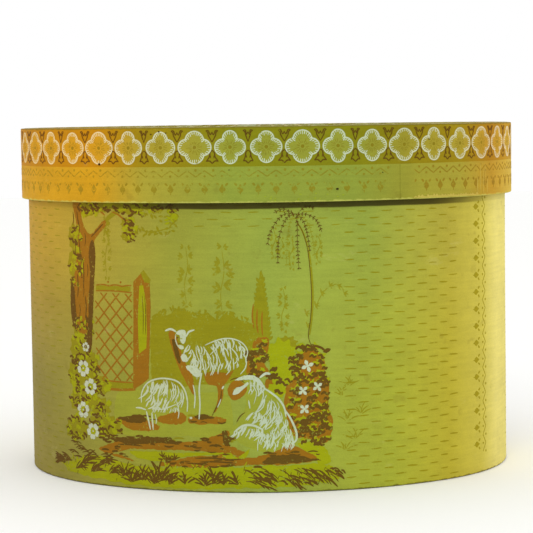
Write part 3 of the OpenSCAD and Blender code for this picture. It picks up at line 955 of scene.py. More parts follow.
def grass(ink):
    """The strip of long grass along the foot of the picture."""
    ink.bright.area([(-184, 8), (-190, 14), (-172, 21), (-150, 25), (-120, 20), (-92, 19), (-70, 20),
                     (-40, 21), (-10, 22), (20, 23), (46, 22), (52, 17), (58, 12), (44, 8), (20, 5),
                     (-20, 4), (-60, 3), (-100, 3), (-130, 4), (-160, 6)], ragged=2.0, seed=171)
    rng = random.Random(172)
    for k in range(34):
        x = -188 + 7.2 * k + rng.uniform(-2, 2)
        tuft(ink.bright, x, rng.uniform(7, 14), 6, rng.uniform(9, 14), (20, 160), 1.6, 200 + k)
    dark = ((-196, 16, 12, 16, (140, 195)), (-186, 18, 11, 14, (150, 200)), (-178, 12, 8, 13, (10, 60)),
            (-170, 17, 10, 16, (5, 55)), (-160, 11, 10, 15, (10, 60)), (-150, 19, 8, 13, (0, 50)),
            (-140, 12, 8, 12, (10, 60)), (-126, 10, 12, 12, (20, 160)), (-118, 6, 14, 13, (10, 170)),
            (-108, 8, 9, 13, (40, 150)), (-99, 6, 13, 14, (20, 150)), (-92, 9, 12, 16, (10, 120)),
            (-84, 6, 8, 12, (30, 120)), (-70, 7, 8, 9, (30, 150)), (-54, 6, 12, 12, (20, 160)),
            (-46, 8, 12, 13, (20, 130)), (-38, 7, 7, 11, (60, 160)), (-28, 8, 8, 10, (80, 170)))
    for number, (x, y, count, reach, spread) in enumerate(dark):
        tuft(ink.brown, x, y, count, reach, spread, 1.35, 240 + number)
    for k in range(90):
        x, y, lean = rng.uniform(-185, 52), rng.uniform(5, 19), math.radians(rng.uniform(20, 150))
        size = rng.uniform(3, 7)
        ink.brown.stroke([(x, y), (x + size * 0.6 * math.cos(lean), y + size * 0.5 * math.sin(lean)),
                          (x + size * math.cos(lean), y + size * 0.7 * math.sin(lean))], 0.6, tip=0.2,
                         steps=2)
    for x, y, count, reach, lean in ((-16, 15, 10, 15, -32), (-8, 17, 8, 13, -26), (-2, 12, 9, 17, -24),
                                     (12, 16, 8, 14, -30), (22, 14, 10, 16, -36), (32, 15, 11, 17, -38),
                                     (41, 16, 11, 16, -36), (50, 15, 8, 12, -34), (56, 14, 6, 9, -30)):
        for k in range(count):
            heading = math.radians(lean + rng.uniform(-16, 16))
            ax, ay = x - 7 + rng.uniform(0, 11), y + rng.uniform(-7, 5)
            size = reach * rng.uniform(0.4, 0.9)
            ink.brown.stroke([(ax, ay),
                              (ax + size * 0.5 * math.cos(heading),
                               ay + size * 0.5 * math.sin(heading) + 1.2),
                              (ax + size * math.cos(heading), ay + size * math.sin(heading))],
                             rng.uniform(0.8, 1.7), tip=0.1)
    for x, y, size in ((-190, 40, 9), (-186, 34, 8), (-178, 30, 10), (-166, 27, 9), (-150, 26, 9),
                       (-190, 26, 10)):
        for k in range(5):
            ax, ay = x + 2.2 * k, y - rng.uniform(0.8, 1.8) * k
            ink.brown.stroke([(ax, ay), (ax + size * 0.5, ay + rng.uniform(0.4, 2)), (ax + size, ay)],
                             rng.uniform(0.7, 1.2), tip=0.15)


def distance_sprays(ink):
    """Pale climbing stems behind the flock and round the weeping tree."""
    hanging_spray(ink.faint, -140, 222, 174, 9, 301)
    hanging_spray(ink.faint, -67, 200, 154, 12, 302)
    hanging_spray(ink.faint, -37, 198, 144, 15, 303)
    hanging_spray(ink.faint, 12, 166, 132, 9, 304)
    ink.faint.stroke([(38, 150), (43, 160), (50, 167), (58, 168), (63, 160)], 0.7)
    for x, y in ((38, 152), (43, 162), (50, 168), (57, 167), (62, 161), (30, 146), (31, 136)):
        for lean in (-60, -15, 30, 100):
            ink.faint.leaf(x + 1.6 * math.cos(math.radians(lean)), y + 1.6 * math.sin(math.radians(lean)),
                           4.4, 1.3, lean)
    for x, y in ((62, 34), (70, 42), (64, 58), (76, 62), (66, 86), (58, 78)):
        tuft(ink.faint, x, y, 6, 9, (20, 160), 1.0, 310 + int(x))


def dashes(block, left, right, low, high, origin, skip=None):
    """Short level dashes laid like bricks."""
    look = bpy.context.scene.hat_box_prints
    length, pitch = look.dash_length / MM, look.dash_pitch / MM
    rng = random.Random(int(left * 7 + 4000))
    first, last = math.ceil((left - origin) / pitch), math.floor((right - origin) / pitch)
    for column in range(first, last + 1):
        x = origin + column * pitch
        count = int((high - low) / pitch)
        for row in range(count + 1):
            y = high - row * pitch - (pitch / 2 if column % 2 else 0)
            if y < low or (skip and skip(x, y)):
                continue
            size = length * rng.uniform(0.82, 1.08) / 2
            tilt = rng.uniform(-0.25, 0.25)
            block.stroke([(x - size, y - tilt), (x, y + rng.uniform(-0.15, 0.15)), (x + size, y + tilt)],
                         rng.uniform(0.8, 1.15), tip=0.45, steps=2)


def strip_motifs(block, count, pitch, turn, at):
    """A length of narrow border: drops with two ticks above them, and a zigzag with dots."""
    for k in range(count):
        start = k * pitch

        def put(points):
            return turned([(x + start, y) for x, y in points], turn, at)

        block.area(put([(0, 4.6), (-1.2, 2.6), (-2.6, 0.4), (-1.6, -1.7), (0, -2.6), (1.6, -1.7),
                        (2.6, 0.4), (1.2, 2.6)]))
        block.stroke(put([(0, -2), (0.2, -3.2), (0, -4.2)]), 0.8)
        for side in (-1, 1):
            block.stroke(put([(side * 2.6, 3.2), (side * 3.6, 4.4), (side * 4.6, 5.4)]), 1.7, tip=0.3)
        block.dot(*put([(pitch / 2, 15.6)])[0], 1.1, sides=8)
        block.dot(*put([(0, 10.8)])[0], 1.0, sides=8)
        zig = [(-pitch / 2, 10.4), (-pitch / 4, 12.9), (0, 15.4), (pitch / 4, 12.9), (pitch / 2, 10.4)]
        for first, second in ((zig[0], zig[2]), (zig[2], zig[4])):
            middle = ((first[0] + second[0]) / 2, (first[1] + second[1]) / 2)
            block.stroke(put([first, middle, second]), 0.85, tip=0.85, steps=2)


def garden(left, right):
    """The whole picture with its surroundings, between two ends of a sheet."""
    ink = Print()
    look = bpy.context.scene.hat_box_prints
    for motif in (trunk, canopy, climber, gate, rambler, hedge, standing_sheep, grazing_sheep,
                  resting_sheep, weeping_tree, rose_bush, ground, grass, distance_sprays):
        motif(ink)
    low, high = COVER_BOTTOM + 4, COVER_TOP - 3
    dashes(ink.olive, 60, 171, low, 227, 166.5)
    dashes(ink.faint, -14, 58, 215, 250, 166.5)
    dashes(ink.faint, -60, -14, 215, 250, 166.5)
    dashes(ink.olive, 22, 171, 235, high, 166.5)
    dashes(ink.faint, left + 4, -192, low, high, 166.5)
    dashes(ink.faint, 268, right - 4, low, high, 166.5)
    count = int((high - low) / (look.drop_pitch / MM))
    strip_motifs(ink.olive, count, look.drop_pitch / MM, -90, (197, high - 6))
    for colour in Print.COLOURS:
        trimmed = Block()
        for cell in getattr(ink, colour).cells:
            trimmed.cell([(x, max(y, COVER_BOTTOM + 1.5)) for x, y in cell])
        setattr(ink, colour, trimmed)
    return ink


# ---- borders of the lid ----

# Reach of a quatrefoil's side lobes and of its upright lobes: (centre, radius) of each, in millimetres
QUATREFOILS = (((6.0, 6.9), (6.4, 6.6)), ((7.2, 6.9), (5.2, 8.2)), ((5.8, 7.0), (7.4, 6.2)))


def quatrefoil(kind, inset, count=120):
    """Outline of a four-lobed flower, set in by a distance."""
    outline = []
    for k in range(count):
        angle = 2 * math.pi * k / count
        reach = 0
        for quarter in range(4):
            centre, radius = QUATREFOILS[kind][quarter % 2]
            off = angle - quarter * math.pi / 2
            if math.cos(off) > 0:
                under = max(0, (radius - inset) ** 2 - (centre * math.sin(off)) ** 2)
                reach = max(reach, centre * math.cos(off) + math.sqrt(under))
        outline.append((reach * math.cos(angle), reach * math.sin(angle)))
    return outline


def medallion(ink, kind, x, y, seed):
    """One flower of the border: a white lobed ring with a comb of inward strokes, and a soft eye."""
    rng = random.Random(seed)
    outer, inner = quatrefoil(kind, 0), quatrefoil(kind, 1.05)
    for k, (a, b) in enumerate(zip(outer, inner)):
        c, d = outer[(k + 1) % len(outer)], inner[(k + 1) % len(inner)]
        ring = [(a[0] + x, a[1] + y), (c[0] + x, c[1] + y), (d[0] + x, d[1] + y), (b[0] + x, b[1] + y)]
        ink.white.cell([ring[0], ring[1], ring[2]])
        ink.white.cell([ring[0], ring[2], ring[3]])
    for triangle in tessellate_polygon([[Vector((px, py, 0)) for px, py in inner]]):
        ink.pale.cell([(inner[i][0] + x, inner[i][1] + y) for i in triangle])
    for k in range(0, len(inner), 3):
        px, py = inner[k]
        size = math.hypot(px, py)
        depth = rng.uniform(1.4, 3.0)
        ends = [(x + px * (size - inward) / size, y + py * (size - inward) / size)
                for inward in (-0.3, depth * 0.5, depth)]
        ink.white.stroke(ends, rng.uniform(0.6, 0.95), tip=0.25, steps=2)
    ink.olive.dot(x, y, 1.5, sides=10)
    for k in range(16):
        heading = 2 * math.pi * k / 16 + rng.uniform(-0.1, 0.1)
        near, far = 2.4, rng.uniform(4.4, 7.0)
        ray = [(x + reach * math.cos(heading), y + reach * math.sin(heading))
               for reach in (near, (near + far) / 2, far)]
        ink.olive.stroke(ray, 0.4, tip=0.4, steps=2)


def tulip(block, x, middle, wide):
    """The outlined tulip above and the bell below, between two medallions."""
    half = 5.0 if wide else 3.9
    top, bottom = middle + 13.2, middle - 12.8
    for side in (-1, 1):
        def put(points):
            return [(x + side * px, py) for px, py in points]

        block.stroke(put([(half, top), (half - 1.6, top - 1.4), (half - 2.2, top - 4.0), (0, top - 9.0)]),
                     0.95, tip=0.5)
        block.stroke(put([(half, top), (half - 2.0, top + 0.2), (1.3, top - 3.2), (0, top - 1.0)]), 0.9,
                     tip=0.6)
        block.stroke(put([(0, bottom + 10.4), (1.8, bottom + 8.6), (2.3, bottom + 5.2),
                          (half, bottom + 1.6)]), 1.0, tip=0.5)
        block.stroke(put([(half, bottom + 1.6), (2.2, bottom + 1.9), (0, bottom - 0.2)]), 1.0, tip=0.6)
        block.leaf(x + side * 1.5, bottom + 5.4, 3.0, 0.8, 80 * side)


def frieze(middle, start, end):
    """The upper border: medallions in three forms, with tulips between them."""
    ink = Print()
    pitch = bpy.context.scene.hat_box_prints.flower_pitch / MM
    for n in range(math.ceil(start / pitch), math.floor(end / pitch) + 1):
        medallion(ink, n % 3, n * pitch, middle, 400 + n)
        if (n + 0.5) * pitch < end - 5:
            tulip(ink.brown, (n + 0.5) * pitch, middle, n % 3 != 2)
    return ink


def drop_row(block, start, end, low):
    """The lower border: a row of drops with a zigzag above."""
    pitch = bpy.context.scene.hat_box_prints.drop_pitch / MM
    first = math.ceil((start - 7.5 + 5) / pitch)
    count = math.floor((end - 7.5 - 5) / pitch) - first + 1
    strip_motifs(block, count, pitch, 0, (7.5 + first * pitch, low + 10.6))


def wear_marks():
    """Scuffs, creases and specks on the lid: the torn lower edge at the right, and dark spots."""
    ink = Print()
    rng = random.Random(601)
    for k in range(24):
        x = 125 + 3.0 * k
        low, high = LID_BOTTOM + 0.9, LID_BOTTOM + rng.uniform(1.8, 4.2)
        middle = (low + high) / 2
        ink.pale.area([(x, low), (x + 3.6, low), (x + 3.2, middle), (x + 1.6, high), (x + 0.2, low + 1)],
                      ragged=0.5, seed=610 + k)
    for k in range(16):
        x = rng.uniform(-12, 62)
        ink.bright.dot(x, LID_BOTTOM + rng.uniform(1.5, 7), rng.uniform(0.5, 1.1), 0.4,
                       rng.uniform(-20, 20))
    for x, low, high in ((197, 238, 252), (201, 240, 263), (205, 237, 258), (208, 244, 262),
                         (212, 238, 250)):
        ink.pale.stroke([(x, low), (x + rng.uniform(-0.6, 0.6), (low + high) / 2), (x + 0.3, high)], 0.7)
    for x, y, size in ((-144.5, 267, 1.2), (57, 245.5, 1.1), (-95, 291, 0.6), (-88, 293, 0.7),
                       (-82, 292, 0.5), (96, 258, 0.5), (-30, 262, 0.5), (140, 284, 0.6)):
        ink.brown.dot(x, y, size, 0.8)
    return ink


def wreath():
    """The lid's top: a garland of leaves and open flowers inside a field of dashes."""
    ink = Print()
    rng = random.Random(501)
    long, deep, count = 104, 82, 44

    def on_garland(k, out):
        angle = 2 * math.pi * k / count
        return (long + out) * math.cos(angle), (deep + out) * math.sin(angle)

    for k in range(count):
        x, y = on_garland(k, rng.uniform(-2, 2))
        tilt = math.degrees(2 * math.pi * k / count) + 90
        ink.rust.stroke([on_garland(k - 0.6, 1), on_garland(k, -1), on_garland(k + 0.6, 1)], 1.2, tip=0.7)
        for lean in (-70, -42, -18, 18, 42, 70):
            heading = math.radians(tilt + lean)
            reach = rng.uniform(5, 8)
            block = rng.choice((ink.olive, ink.olive, ink.bright, ink.brown))
            block.leaf(x + reach * math.cos(heading), y + reach * math.sin(heading), rng.uniform(7, 10),
                       rng.uniform(2.2, 3.4), tilt + lean)
    for k in range(0, count, 4):
        x, y = on_garland(k, 0)
        rose(ink, x, y, 8.5 if k % 8 else 11, 520 + k)
    for k in range(9):
        tilt = 90 + (k - 4) * 34
        reach = 17
        ink.olive.stroke([(0, -14), (reach * 0.5 * math.cos(math.radians(tilt)), -2 + reach * 0.5),
                          (reach * math.cos(math.radians(tilt)), reach * math.sin(math.radians(tilt)))],
                         1.1)
        cross_flower(ink, (reach + 3) * math.cos(math.radians(tilt)),
                     (reach + 3) * math.sin(math.radians(tilt)), 6, 12 * k)
    foliage(ink, 0, -8, 26, 16, 530, 1.0)
    rose(ink, 0, 2, 9, 541)

    def clear(x, y):
        near = math.hypot(x / (long + 15), y / (deep + 15))
        far = math.hypot(x / (HALF_LONG - 2), y / (HALF_DEEP - 2))
        return near < 1 and not math.hypot(x / (long - 16), y / (deep - 16)) < 1 or far > 1 \
            or math.hypot(x, y) < 34

    dashes(ink.faint, -HALF_LONG, HALF_LONG, -HALF_DEEP, HALF_DEEP, 0, skip=clear)
    return ink


def flat_film(name, block, level, height, material, body, slot):
    """The colour that a block leaves on the lid's flat top."""
    flat, triangles = united(block.cells)

    def skin(out):
        return lambda points: [(x * MM, y * MM, (level(x, y) + out) * MM) for x, y in points]

    piece = add_piece(name, *thick(flat, triangles, skin(height), skin(-0.05)), material, body, slot)
    smooth_by_angle(piece)
    return piece


# ---- shader maths ----

class Wire:
    """A value on its way through a material. Arithmetic on it adds Math nodes."""

    def __init__(self, paint, socket):
        self.paint = paint
        self.socket = socket

    def maths(self, operation, *values):
        return self.paint.add("Math", {"operation": operation}, dict(enumerate(values)))

    def __add__(self, other):
        return self.maths("ADD", self, other)

    __radd__ = __add__

    def __sub__(self, other):
        return self.maths("SUBTRACT", self, other)

    def __rsub__(self, other):
        return self.maths("SUBTRACT", other, self)

    def __mul__(self, other):
        return self.maths("MULTIPLY", self, other)

    __rmul__ = __mul__

    def above(self, low, high):
        """0 below low, 1 above high, and a smooth rise between them."""
        return self.paint.add("MapRange", {"interpolation_type": "SMOOTHSTEP"},
                              {"Value": self, "From Min": low, "From Max": high})


class Paint:
    """The nodes of one material."""

    def __init__(self, name):
        self.material = bpy.data.materials.new(name)
        self.material.use_nodes = True
        self.tree = self.material.node_tree
        self.tree.nodes.clear()
        self.place = self.add("TexCoord", out="Object")
        self.x, self.y, self.z = (self.add("SeparateXYZ", {}, {"Vector": self.place},
                                           out=axis) for axis in "XYZ")

    def add(self, kind, settings=None, sockets=None, out=0):
        """Adds a node: its type, its settings, then the values or links of its sockets."""
        node = self.tree.nodes.new("ShaderNode" + kind)
        for key, value in (settings or {}).items():
            if key == "stops":
                set_stops(node.color_ramp, value)
            else:
                setattr(node, key, value)
        for key, value in (sockets or {}).items():
            if isinstance(value, Wire):
                self.tree.links.new(value.socket, node.inputs[key])
            else:
                node.inputs[key].default_value = value
        return Wire(self, node.outputs[out]) if node.outputs else None

    def colour(self, rgb):
        return rgb if isinstance(rgb, Wire) else (*rgb, 1)

    def mix(self, factor, first, second, blend="MIX"):
        """Two colours mixed."""
        return self.add("Mix", {"data_type": "RGBA", "blend_type": blend},
                        {0: factor, 6: self.colour(first), 7: self.colour(second)}, out=2)

    def noise(self, scale, detail=3.0, stretch=(1, 1, 1), rough=0.55, shift=0.0):
        """Cloudy noise with about this many lumps to a metre, stretched along the axes."""
        spread = self.add("VectorMath", {"operation": "MULTIPLY_ADD"},
                          {0: self.place, 1: stretch, 2: (shift, shift * 0.7, shift * 1.3)})
        return self.add("TexNoise", {},
                        {"Vector": spread, "Scale": scale, "Detail": detail, "Roughness": rough})

    def scaled(self, colour, factor):
        """A colour made lighter or darker by a value."""
        return self.add("VectorMath", {"operation": "SCALE"}, {0: colour, "Scale": factor})

    def finish(self, colour, roughness, height, depth, sheen=0.0, specular=0.08):
        """Joins colour, roughness and height to the surface. Depth is the relief in metres."""
        bump = self.add("Bump", {}, {"Strength": 0.6, "Distance": depth, "Height": height})
        shader = self.add("BsdfPrincipled", {},
                          {"Base Color": colour, "Roughness": roughness, "Normal": bump,
                           "Sheen Weight": sheen, "Specular IOR Level": specular})
        self.add("OutputMaterial", {}, {"Surface": shader})
        return self.material


def set_stops(ramp, stops):
    """Gives a colour ramp its stops: (position, colour) in order."""
    while len(ramp.elements) > 1:
        ramp.elements.remove(ramp.elements[-1])
    for number, (position, colour) in enumerate(stops):
        element = ramp.elements[0] if number == 0 else ramp.elements.new(position)
        element.position = position
        element.color = (*colour, 1)


# ---- materials ----

# The colours of the ground paper: partly its own drift with age, partly painted light, with a painted
# highlight in the pale right ends and painted shade low at the wall's left
AMBER = tone(200, 155, 45)
GOLD = tone(220, 165, 30)
UMBER = tone(145, 130, 60)
OLIVE = tone(170, 155, 55)
SAGE = tone(155, 155, 55)
GREEN = tone(150, 165, 65)
LIME = tone(170, 175, 55)
STRAW = tone(180, 168, 60)
BRASS = tone(185, 172, 50)
WHEAT = tone(205, 190, 75)
HONEY = tone(230, 195, 70)
CREAM = tone(235, 220, 120)

# Where the paper takes them from left to right, in millimetres from the middle of the front
WALL_DRIFT_AND_LIGHT_HIGH = ((-208, AMBER), (-120, OLIVE), (-80, SAGE), (0, GREEN), (80, GREEN), (150, STRAW),
                  (180, WHEAT), (195, CREAM))
WALL_DRIFT_AND_LIGHT_LOW = ((-208, UMBER), (-100, SAGE), (0, GREEN), (100, LIME), (150, BRASS), (180, WHEAT),
                 (195, CREAM))
LID_DRIFT_AND_LIGHT = ((-214, GOLD), (-140, GOLD), (-100, STRAW), (-30, GREEN), (70, GREEN), (110, SAGE),
            (160, STRAW), (190, AMBER), (214, HONEY))
BACK_FADE = tone(176, 160, 72)
WALL_GROUND = tone(148, 162, 66)
# The papers are made a little darker than their set colours, which suits the studio light
PAPER_TONE = 0.90


def drift_and_painted_light(paint, on_lid):
    """How far the colour differs from the middle's, as a factor for each of red, green and blue: the
    paper's drift, with painted highlight at the right ends and painted shade low at the wall's left.
    """
    base = linear(WALL_GROUND)
    across = paint.x * (1 / 0.44) + 0.5

    def ramp(stops):
        return paint.add("ValToRGB", {"stops": [(x * MM / 0.44 + 0.5, linear(c)) for x, c in stops]},
                         {"Fac": across})

    if on_lid:
        colour = ramp(LID_DRIFT_AND_LIGHT)
    else:
        colour = paint.mix(paint.z.above(0.07, 0.24), ramp(WALL_DRIFT_AND_LIGHT_LOW), ramp(WALL_DRIFT_AND_LIGHT_HIGH))
    colour = paint.mix(paint.y.above(-0.02, 0.11), colour, linear(BACK_FADE))
    return paint.add("VectorMath", {"operation": "DIVIDE"}, {0: colour, 1: base})


def drifted(paint, colour, on_lid, share=1.0):
    """A colour of the middle of the front, drifted as the paper is where it lies, with the painted
    highlight and shade of the ends.
    """
    factor = paint.scaled(drift_and_painted_light(paint, on_lid), PAPER_TONE)
    if share < 1:
        factor = paint.mix(share, (1, 1, 1), factor)
    return paint.add("VectorMath", {"operation": "MULTIPLY"}, {0: factor, 1: linear(colour)})


def mottled(paint, colour, amount=1.0):
    """Cloudy age marks, brushed streaks and fine grain over a colour."""
    clouds = paint.noise(18, 4)
    blots = paint.noise(110, 4, shift=3.0)
    streaks = paint.noise(30, 4, (1, 1, 14), shift=7.0)
    grain = paint.noise(900, 3, (1, 1, 1.6), shift=11.0)
    level = (clouds - 0.5) * (0.30 * amount) + (blots - 0.5) * (0.16 * amount)
    level = level + (streaks - 0.5) * (0.26 * amount)
    level = level + (grain - 0.5) * (0.32 * amount) + 1.0
    return paint.scaled(colour, level)


def paper_height(paint):
    """Relief of the laid paper: fibres, small cockles and brush marks."""
    return paint.noise(700, 4, (1, 1, 1.8)) * 0.5 + paint.noise(90, 3, shift=5.0) + \
        paint.noise(45, 3, (1, 1, 10), shift=9.0) * 0.6


def stains(paint, colour, amount):
    """Brown foxing spots and a few rubbed pale patches."""
    spots = paint.noise(60, 5, shift=21.0).above(0.63, 0.74) * amount
    rubs = paint.noise(24, 6, (1, 1, 2.5), rough=0.7, shift=33.0).above(0.60, 0.72) * amount
    colour = paint.mix(spots * 0.25, colour, linear(tone(110, 88, 20)))
    return paint.mix(rubs * 0.16, colour, linear(tone(214, 205, 140)))


def ground_paper(name, colour, on_lid, edge_low=None, edge_high=None):
    """A distempered ground: drifted colour with painted highlight and shade at its ends, mottling, and
    bands at two heights: at the top, dark on the lid and pale on the wall; at the foot, pale on the lid,
    and on the wall a dark painted shade where the box meets the floor. The wall also gets the painted
    shadow under the lid's rim.
    """
    paint = Paint(name)
    surface = drifted(paint, colour, on_lid)
    surface = stains(paint, mottled(paint, surface), 0.8)
    if not on_lid:
        # painted shadow of the lid's rim on the wall
        surface = painted_rim_shadow(paint, surface)
    ragged = paint.noise(160, 4, (1, 1, 0.4), shift=14.0)
    if edge_high is not None:
        edge_band = (paint.z * 1000 + (ragged - 0.5) * 3.0).above(edge_high - 1.4, edge_high - 0.5)
        surface = paint.mix(edge_band * 0.6, surface,
                            linear(tone(112, 100, 26) if on_lid else tone(196, 168, 58)))
    # At the foot: a pale band on the lid, and on the wall a dark band of painted shade where the box meets
    # the floor
    if edge_low is not None:
        edge_band = 1.0 - (paint.z * 1000 + (ragged - 0.5) * 4.0).above(edge_low + 0.2, edge_low + 1.6)
        surface = paint.mix(edge_band * 0.65, surface,
                            linear(tone(196, 196, 96) if on_lid else tone(74, 62, 20)))
    rough = paint.noise(200, 3, shift=17.0) * 0.25 + 0.55
    return paint.finish(surface, rough, paper_height(paint), 0.00025)


def painted_rim_shadow(paint, surface):
    """Painted shadow: a dark line on the wall just under the lid's rim, standing in for the shadow that the
    rim casts, darkest along the front.
    """
    height = paint.z * 1000 + (paint.noise(12, 3, (1, 1, 0.2), shift=41.0) - 0.5) * 2.5
    band = height.above(229.8, 231.2) * (1 - height.above(237.5, 240))
    ends = (paint.x * 1000).above(-180, -60) * (1 - (paint.x * 1000).above(130, 200))
    return paint.mix(band * (ends * 0.8 + 0.1), surface, linear(tone(52, 42, 10)))


def ink(name, colour, on_lid, cover=0.36, share=0.4, ground=WALL_GROUND):
    """Distemper colour laid by a block: thin in places, so that the ground shows through."""
    paint = Paint(name)
    laid = mottled(paint, drifted(paint, colour, on_lid, share), 0.9)
    under = drifted(paint, ground, on_lid)
    thin = paint.noise(420, 5, rough=0.65, shift=2.0)
    patchy = paint.noise(35, 4, shift=27.0)
    covered = (thin + (patchy - 0.5) * 0.35).above(cover - 0.05, cover + 0.06)
    surface = stains(paint, paint.mix(covered, under, laid), 0.5)
    if not on_lid:
        # painted shadow of the lid's rim on the wall, laid over the ink too
        surface = painted_rim_shadow(paint, surface)
    rough = paint.noise(260, 3, shift=19.0) * 0.2 + 0.62
    height = paint.noise(600, 4, (1, 1, 1.4)) + thin * 0.5
    return paint.finish(surface, rough, height, 0.0002)


def plain_paper(name, colour, specks=1.0):
    """Undyed rag paper, browned in clouds, with foxing and flecks of fibre."""
    paint = Paint(name)
    clouds = paint.noise(9, 5, rough=0.6)
    surface = paint.mix(clouds.above(0.35, 0.7), linear(colour), linear(tuple(c * 0.86 for c in colour)))
    surface = mottled(paint, surface, 0.7)
    flecks = paint.noise(1300, 2, (1, 1, 1), shift=5.0).above(0.68, 0.75)
    surface = paint.mix(flecks * 0.25 * specks, surface, linear(tone(130, 100, 60)))
    surface = stains(paint, surface, 0.6 * specks)
    rough = paint.noise(300, 3) * 0.2 + 0.7
    return paint.finish(surface, rough, paper_height(paint), 0.00022)


def pasteboard(colour):
    """Grey-brown board: long fibres pressed in layers."""
    paint = Paint("pasteboard_board")
    layers = paint.noise(500, 4, (1, 1, 7))
    fibres = paint.noise(1500, 3, (1, 1, 2), shift=4.0)
    dark = tuple(c * 0.7 for c in linear(colour))
    surface = paint.mix(layers.above(0.4, 0.65), dark, linear(colour))
    surface = paint.scaled(surface, fibres * 0.5 + 0.75)
    return paint.finish(surface, fibres * 0.2 + 0.75, layers + fibres * 0.5, 0.0003)


def linen_thread(colour):
    """Waxed linen thread, with the twist of its plies."""
    paint = Paint("linen_thread_ply")
    twist = paint.add("TexWave", {"bands_direction": "DIAGONAL"},
                      {"Vector": paint.place, "Scale": 260.0, "Distortion": 1.5, "Detail": 2.0}, out="Fac")
    dark = tuple(c * 0.55 for c in linear(colour))
    surface = paint.mix(twist, dark, linear(colour))
    return paint.finish(surface, 0.75 - twist * 0.15, twist, 0.0003)


def floor_paper(colour):
    """A pale matt sweep of paper."""
    paint = Paint("floor_sweep")
    surface = paint.scaled(linear(colour), paint.noise(400, 3) * 0.02 + 0.99)
    return paint.finish(surface, paint.noise(200, 2) * 0.1 + 0.8, paint.noise(500, 3), 0.0001)


# ---- settings ----

def colour_setting(name, what, value):
    return FloatVectorProperty(name=name, description=what, subtype="COLOR_GAMMA", min=0, max=1,
                               default=value)


def length_setting(name, what, value, low=0.0, high=5.0):
    return FloatProperty(name=name, description=what, unit="LENGTH", default=value, min=low, max=high)


class HatBoxPapers(bpy.types.PropertyGroup):
    """Colours of the papers, the boards and the thread."""
    ground: colour_setting("Ground", "Distempered ground of the wall paper", WALL_GROUND)
    upper: colour_setting("Upper border", "Ground of the flower border", tone(131, 130, 16))
    lower: colour_setting("Lower border", "Ground of the drop border", tone(142, 154, 58))
    top: colour_setting("Top paper", "Paper of the lid's top", tone(196, 186, 132))
    lining: colour_setting("Lining", "Paper inside the box and lid", tone(222, 212, 186))
    base: colour_setting("Base paper", "Paper under the box", tone(204, 190, 150))
    board: colour_setting("Pasteboard", "Boards of the box and lid", tone(168, 142, 104))
    thread: colour_setting("Thread", "Linen thread of the seams", tone(216, 204, 172))
    rounding: length_setting("Edge rounding", "Radius of the papers at the boards' edges", 0.0008, 0.0002,
                             0.001)


class HatBoxInks(bpy.types.PropertyGroup):
    """Colours of the printing blocks."""
    faint: colour_setting("Distance", "Thin olive of the far plants", tone(138, 138, 28))
    pale: colour_setting("Pale", "Light green of the fleece and turf", tone(148, 156, 50))
    olive: colour_setting("Olive", "Olive of the hedge and the dashes", tone(137, 135, 20))
    rust: colour_setting("Rust", "Rust of the trunk, the gate and the earth", tone(146, 102, 20))
    bright: colour_setting("Bright", "Bright green of the grass and leaves", tone(150, 158, 12))
    brown: colour_setting("Brown", "Dark brown of the shadows", tone(97, 74, 22))
    white: colour_setting("White", "Chalk white of the sheep and flowers", tone(184, 197, 170))
    layer: length_setting("Layer", "Thickness that each printed colour adds", 0.00003, 0, 0.0002)


class HatBoxPrints(bpy.types.PropertyGroup):
    """Spacing of the repeated motifs."""
    flower_pitch: length_setting("Flower pitch", "Distance between the border's flowers", 0.029, 0.01, 0.1)
    drop_pitch: length_setting("Drop pitch", "Distance between the lower border's drops", 0.0144, 0.005,
                               0.1)
    dash_pitch: length_setting("Dash pitch", "Distance between dashes in a row", 0.0111, 0.004, 0.1)
    dash_length: length_setting("Dash length", "Length of each dash", 0.0092, 0.002, 0.1)


class HatBoxStage(bpy.types.PropertyGroup):
    """The floor, the lights and the camera."""
    floor: colour_setting("Floor", "Colour of the floor", tone(254, 254, 252))
    distance: length_setting("Camera distance", "From the middle of the box to the camera", 1.813, 0.5, 10)
    height: length_setting("Camera height", "Height of the camera over the floor", 0.3055, 0, 3)
    lens: FloatProperty(name="Lens", description="Focal length on a 36 mm sensor, in millimetres",
                        default=137.85)
    pitch: FloatProperty(name="Tilt", description="Downward tilt of the camera", subtype="ANGLE",
                         default=math.radians(4.25))
    roll: FloatProperty(name="Roll", description="Roll of the camera", subtype="ANGLE",
                        default=math.radians(-0.78))


# ---- operators ----

def settings():
    """The scene's four groups of settings."""
    scene = bpy.context.scene
    return scene.hat_box_papers, scene.hat_box_inks, scene.hat_box_prints, scene.hat_box_stage


def paint_nodes(material, *names):
    """Gives CAD nodes a material."""
    for name in names:
        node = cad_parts[name]
        for slot in node.material_slots:
            slot.material = material


class HATBOX_OT_boards(bpy.types.Operator):
    """Finish the pasteboard boards and the linen thread that sews them"""
    bl_idname = "hatbox.boards"
    bl_label = "Boards and Thread"

    def execute(self, context):
        papers = settings()[0]
        paint_nodes(pasteboard(papers.board), "base_board", "wall_board", "lid_board", "lid_rim_board")
        paint_nodes(linen_thread(papers.thread), "wall_lap_stitches", "base_stitches", "lid_lap_stitches",
                    "lid_edge_stitches")
        return {"FINISHED"}


class HATBOX_OT_linings(bpy.types.Operator):
    """Finish the linings of the box and lid and the paper under the base"""
    bl_idname = "hatbox.linings"
    bl_label = "Linings"

    def execute(self, context):
        papers = settings()[0]
        paint_nodes(plain_paper("lining_rag_paper", papers.lining), "wall_lining", "base_lining",
                    "lid_top_lining", "lid_rim_lining")
        paint_nodes(plain_paper("base_rag_paper", papers.base, 1.4), "base_cover")
        return {"FINISHED"}


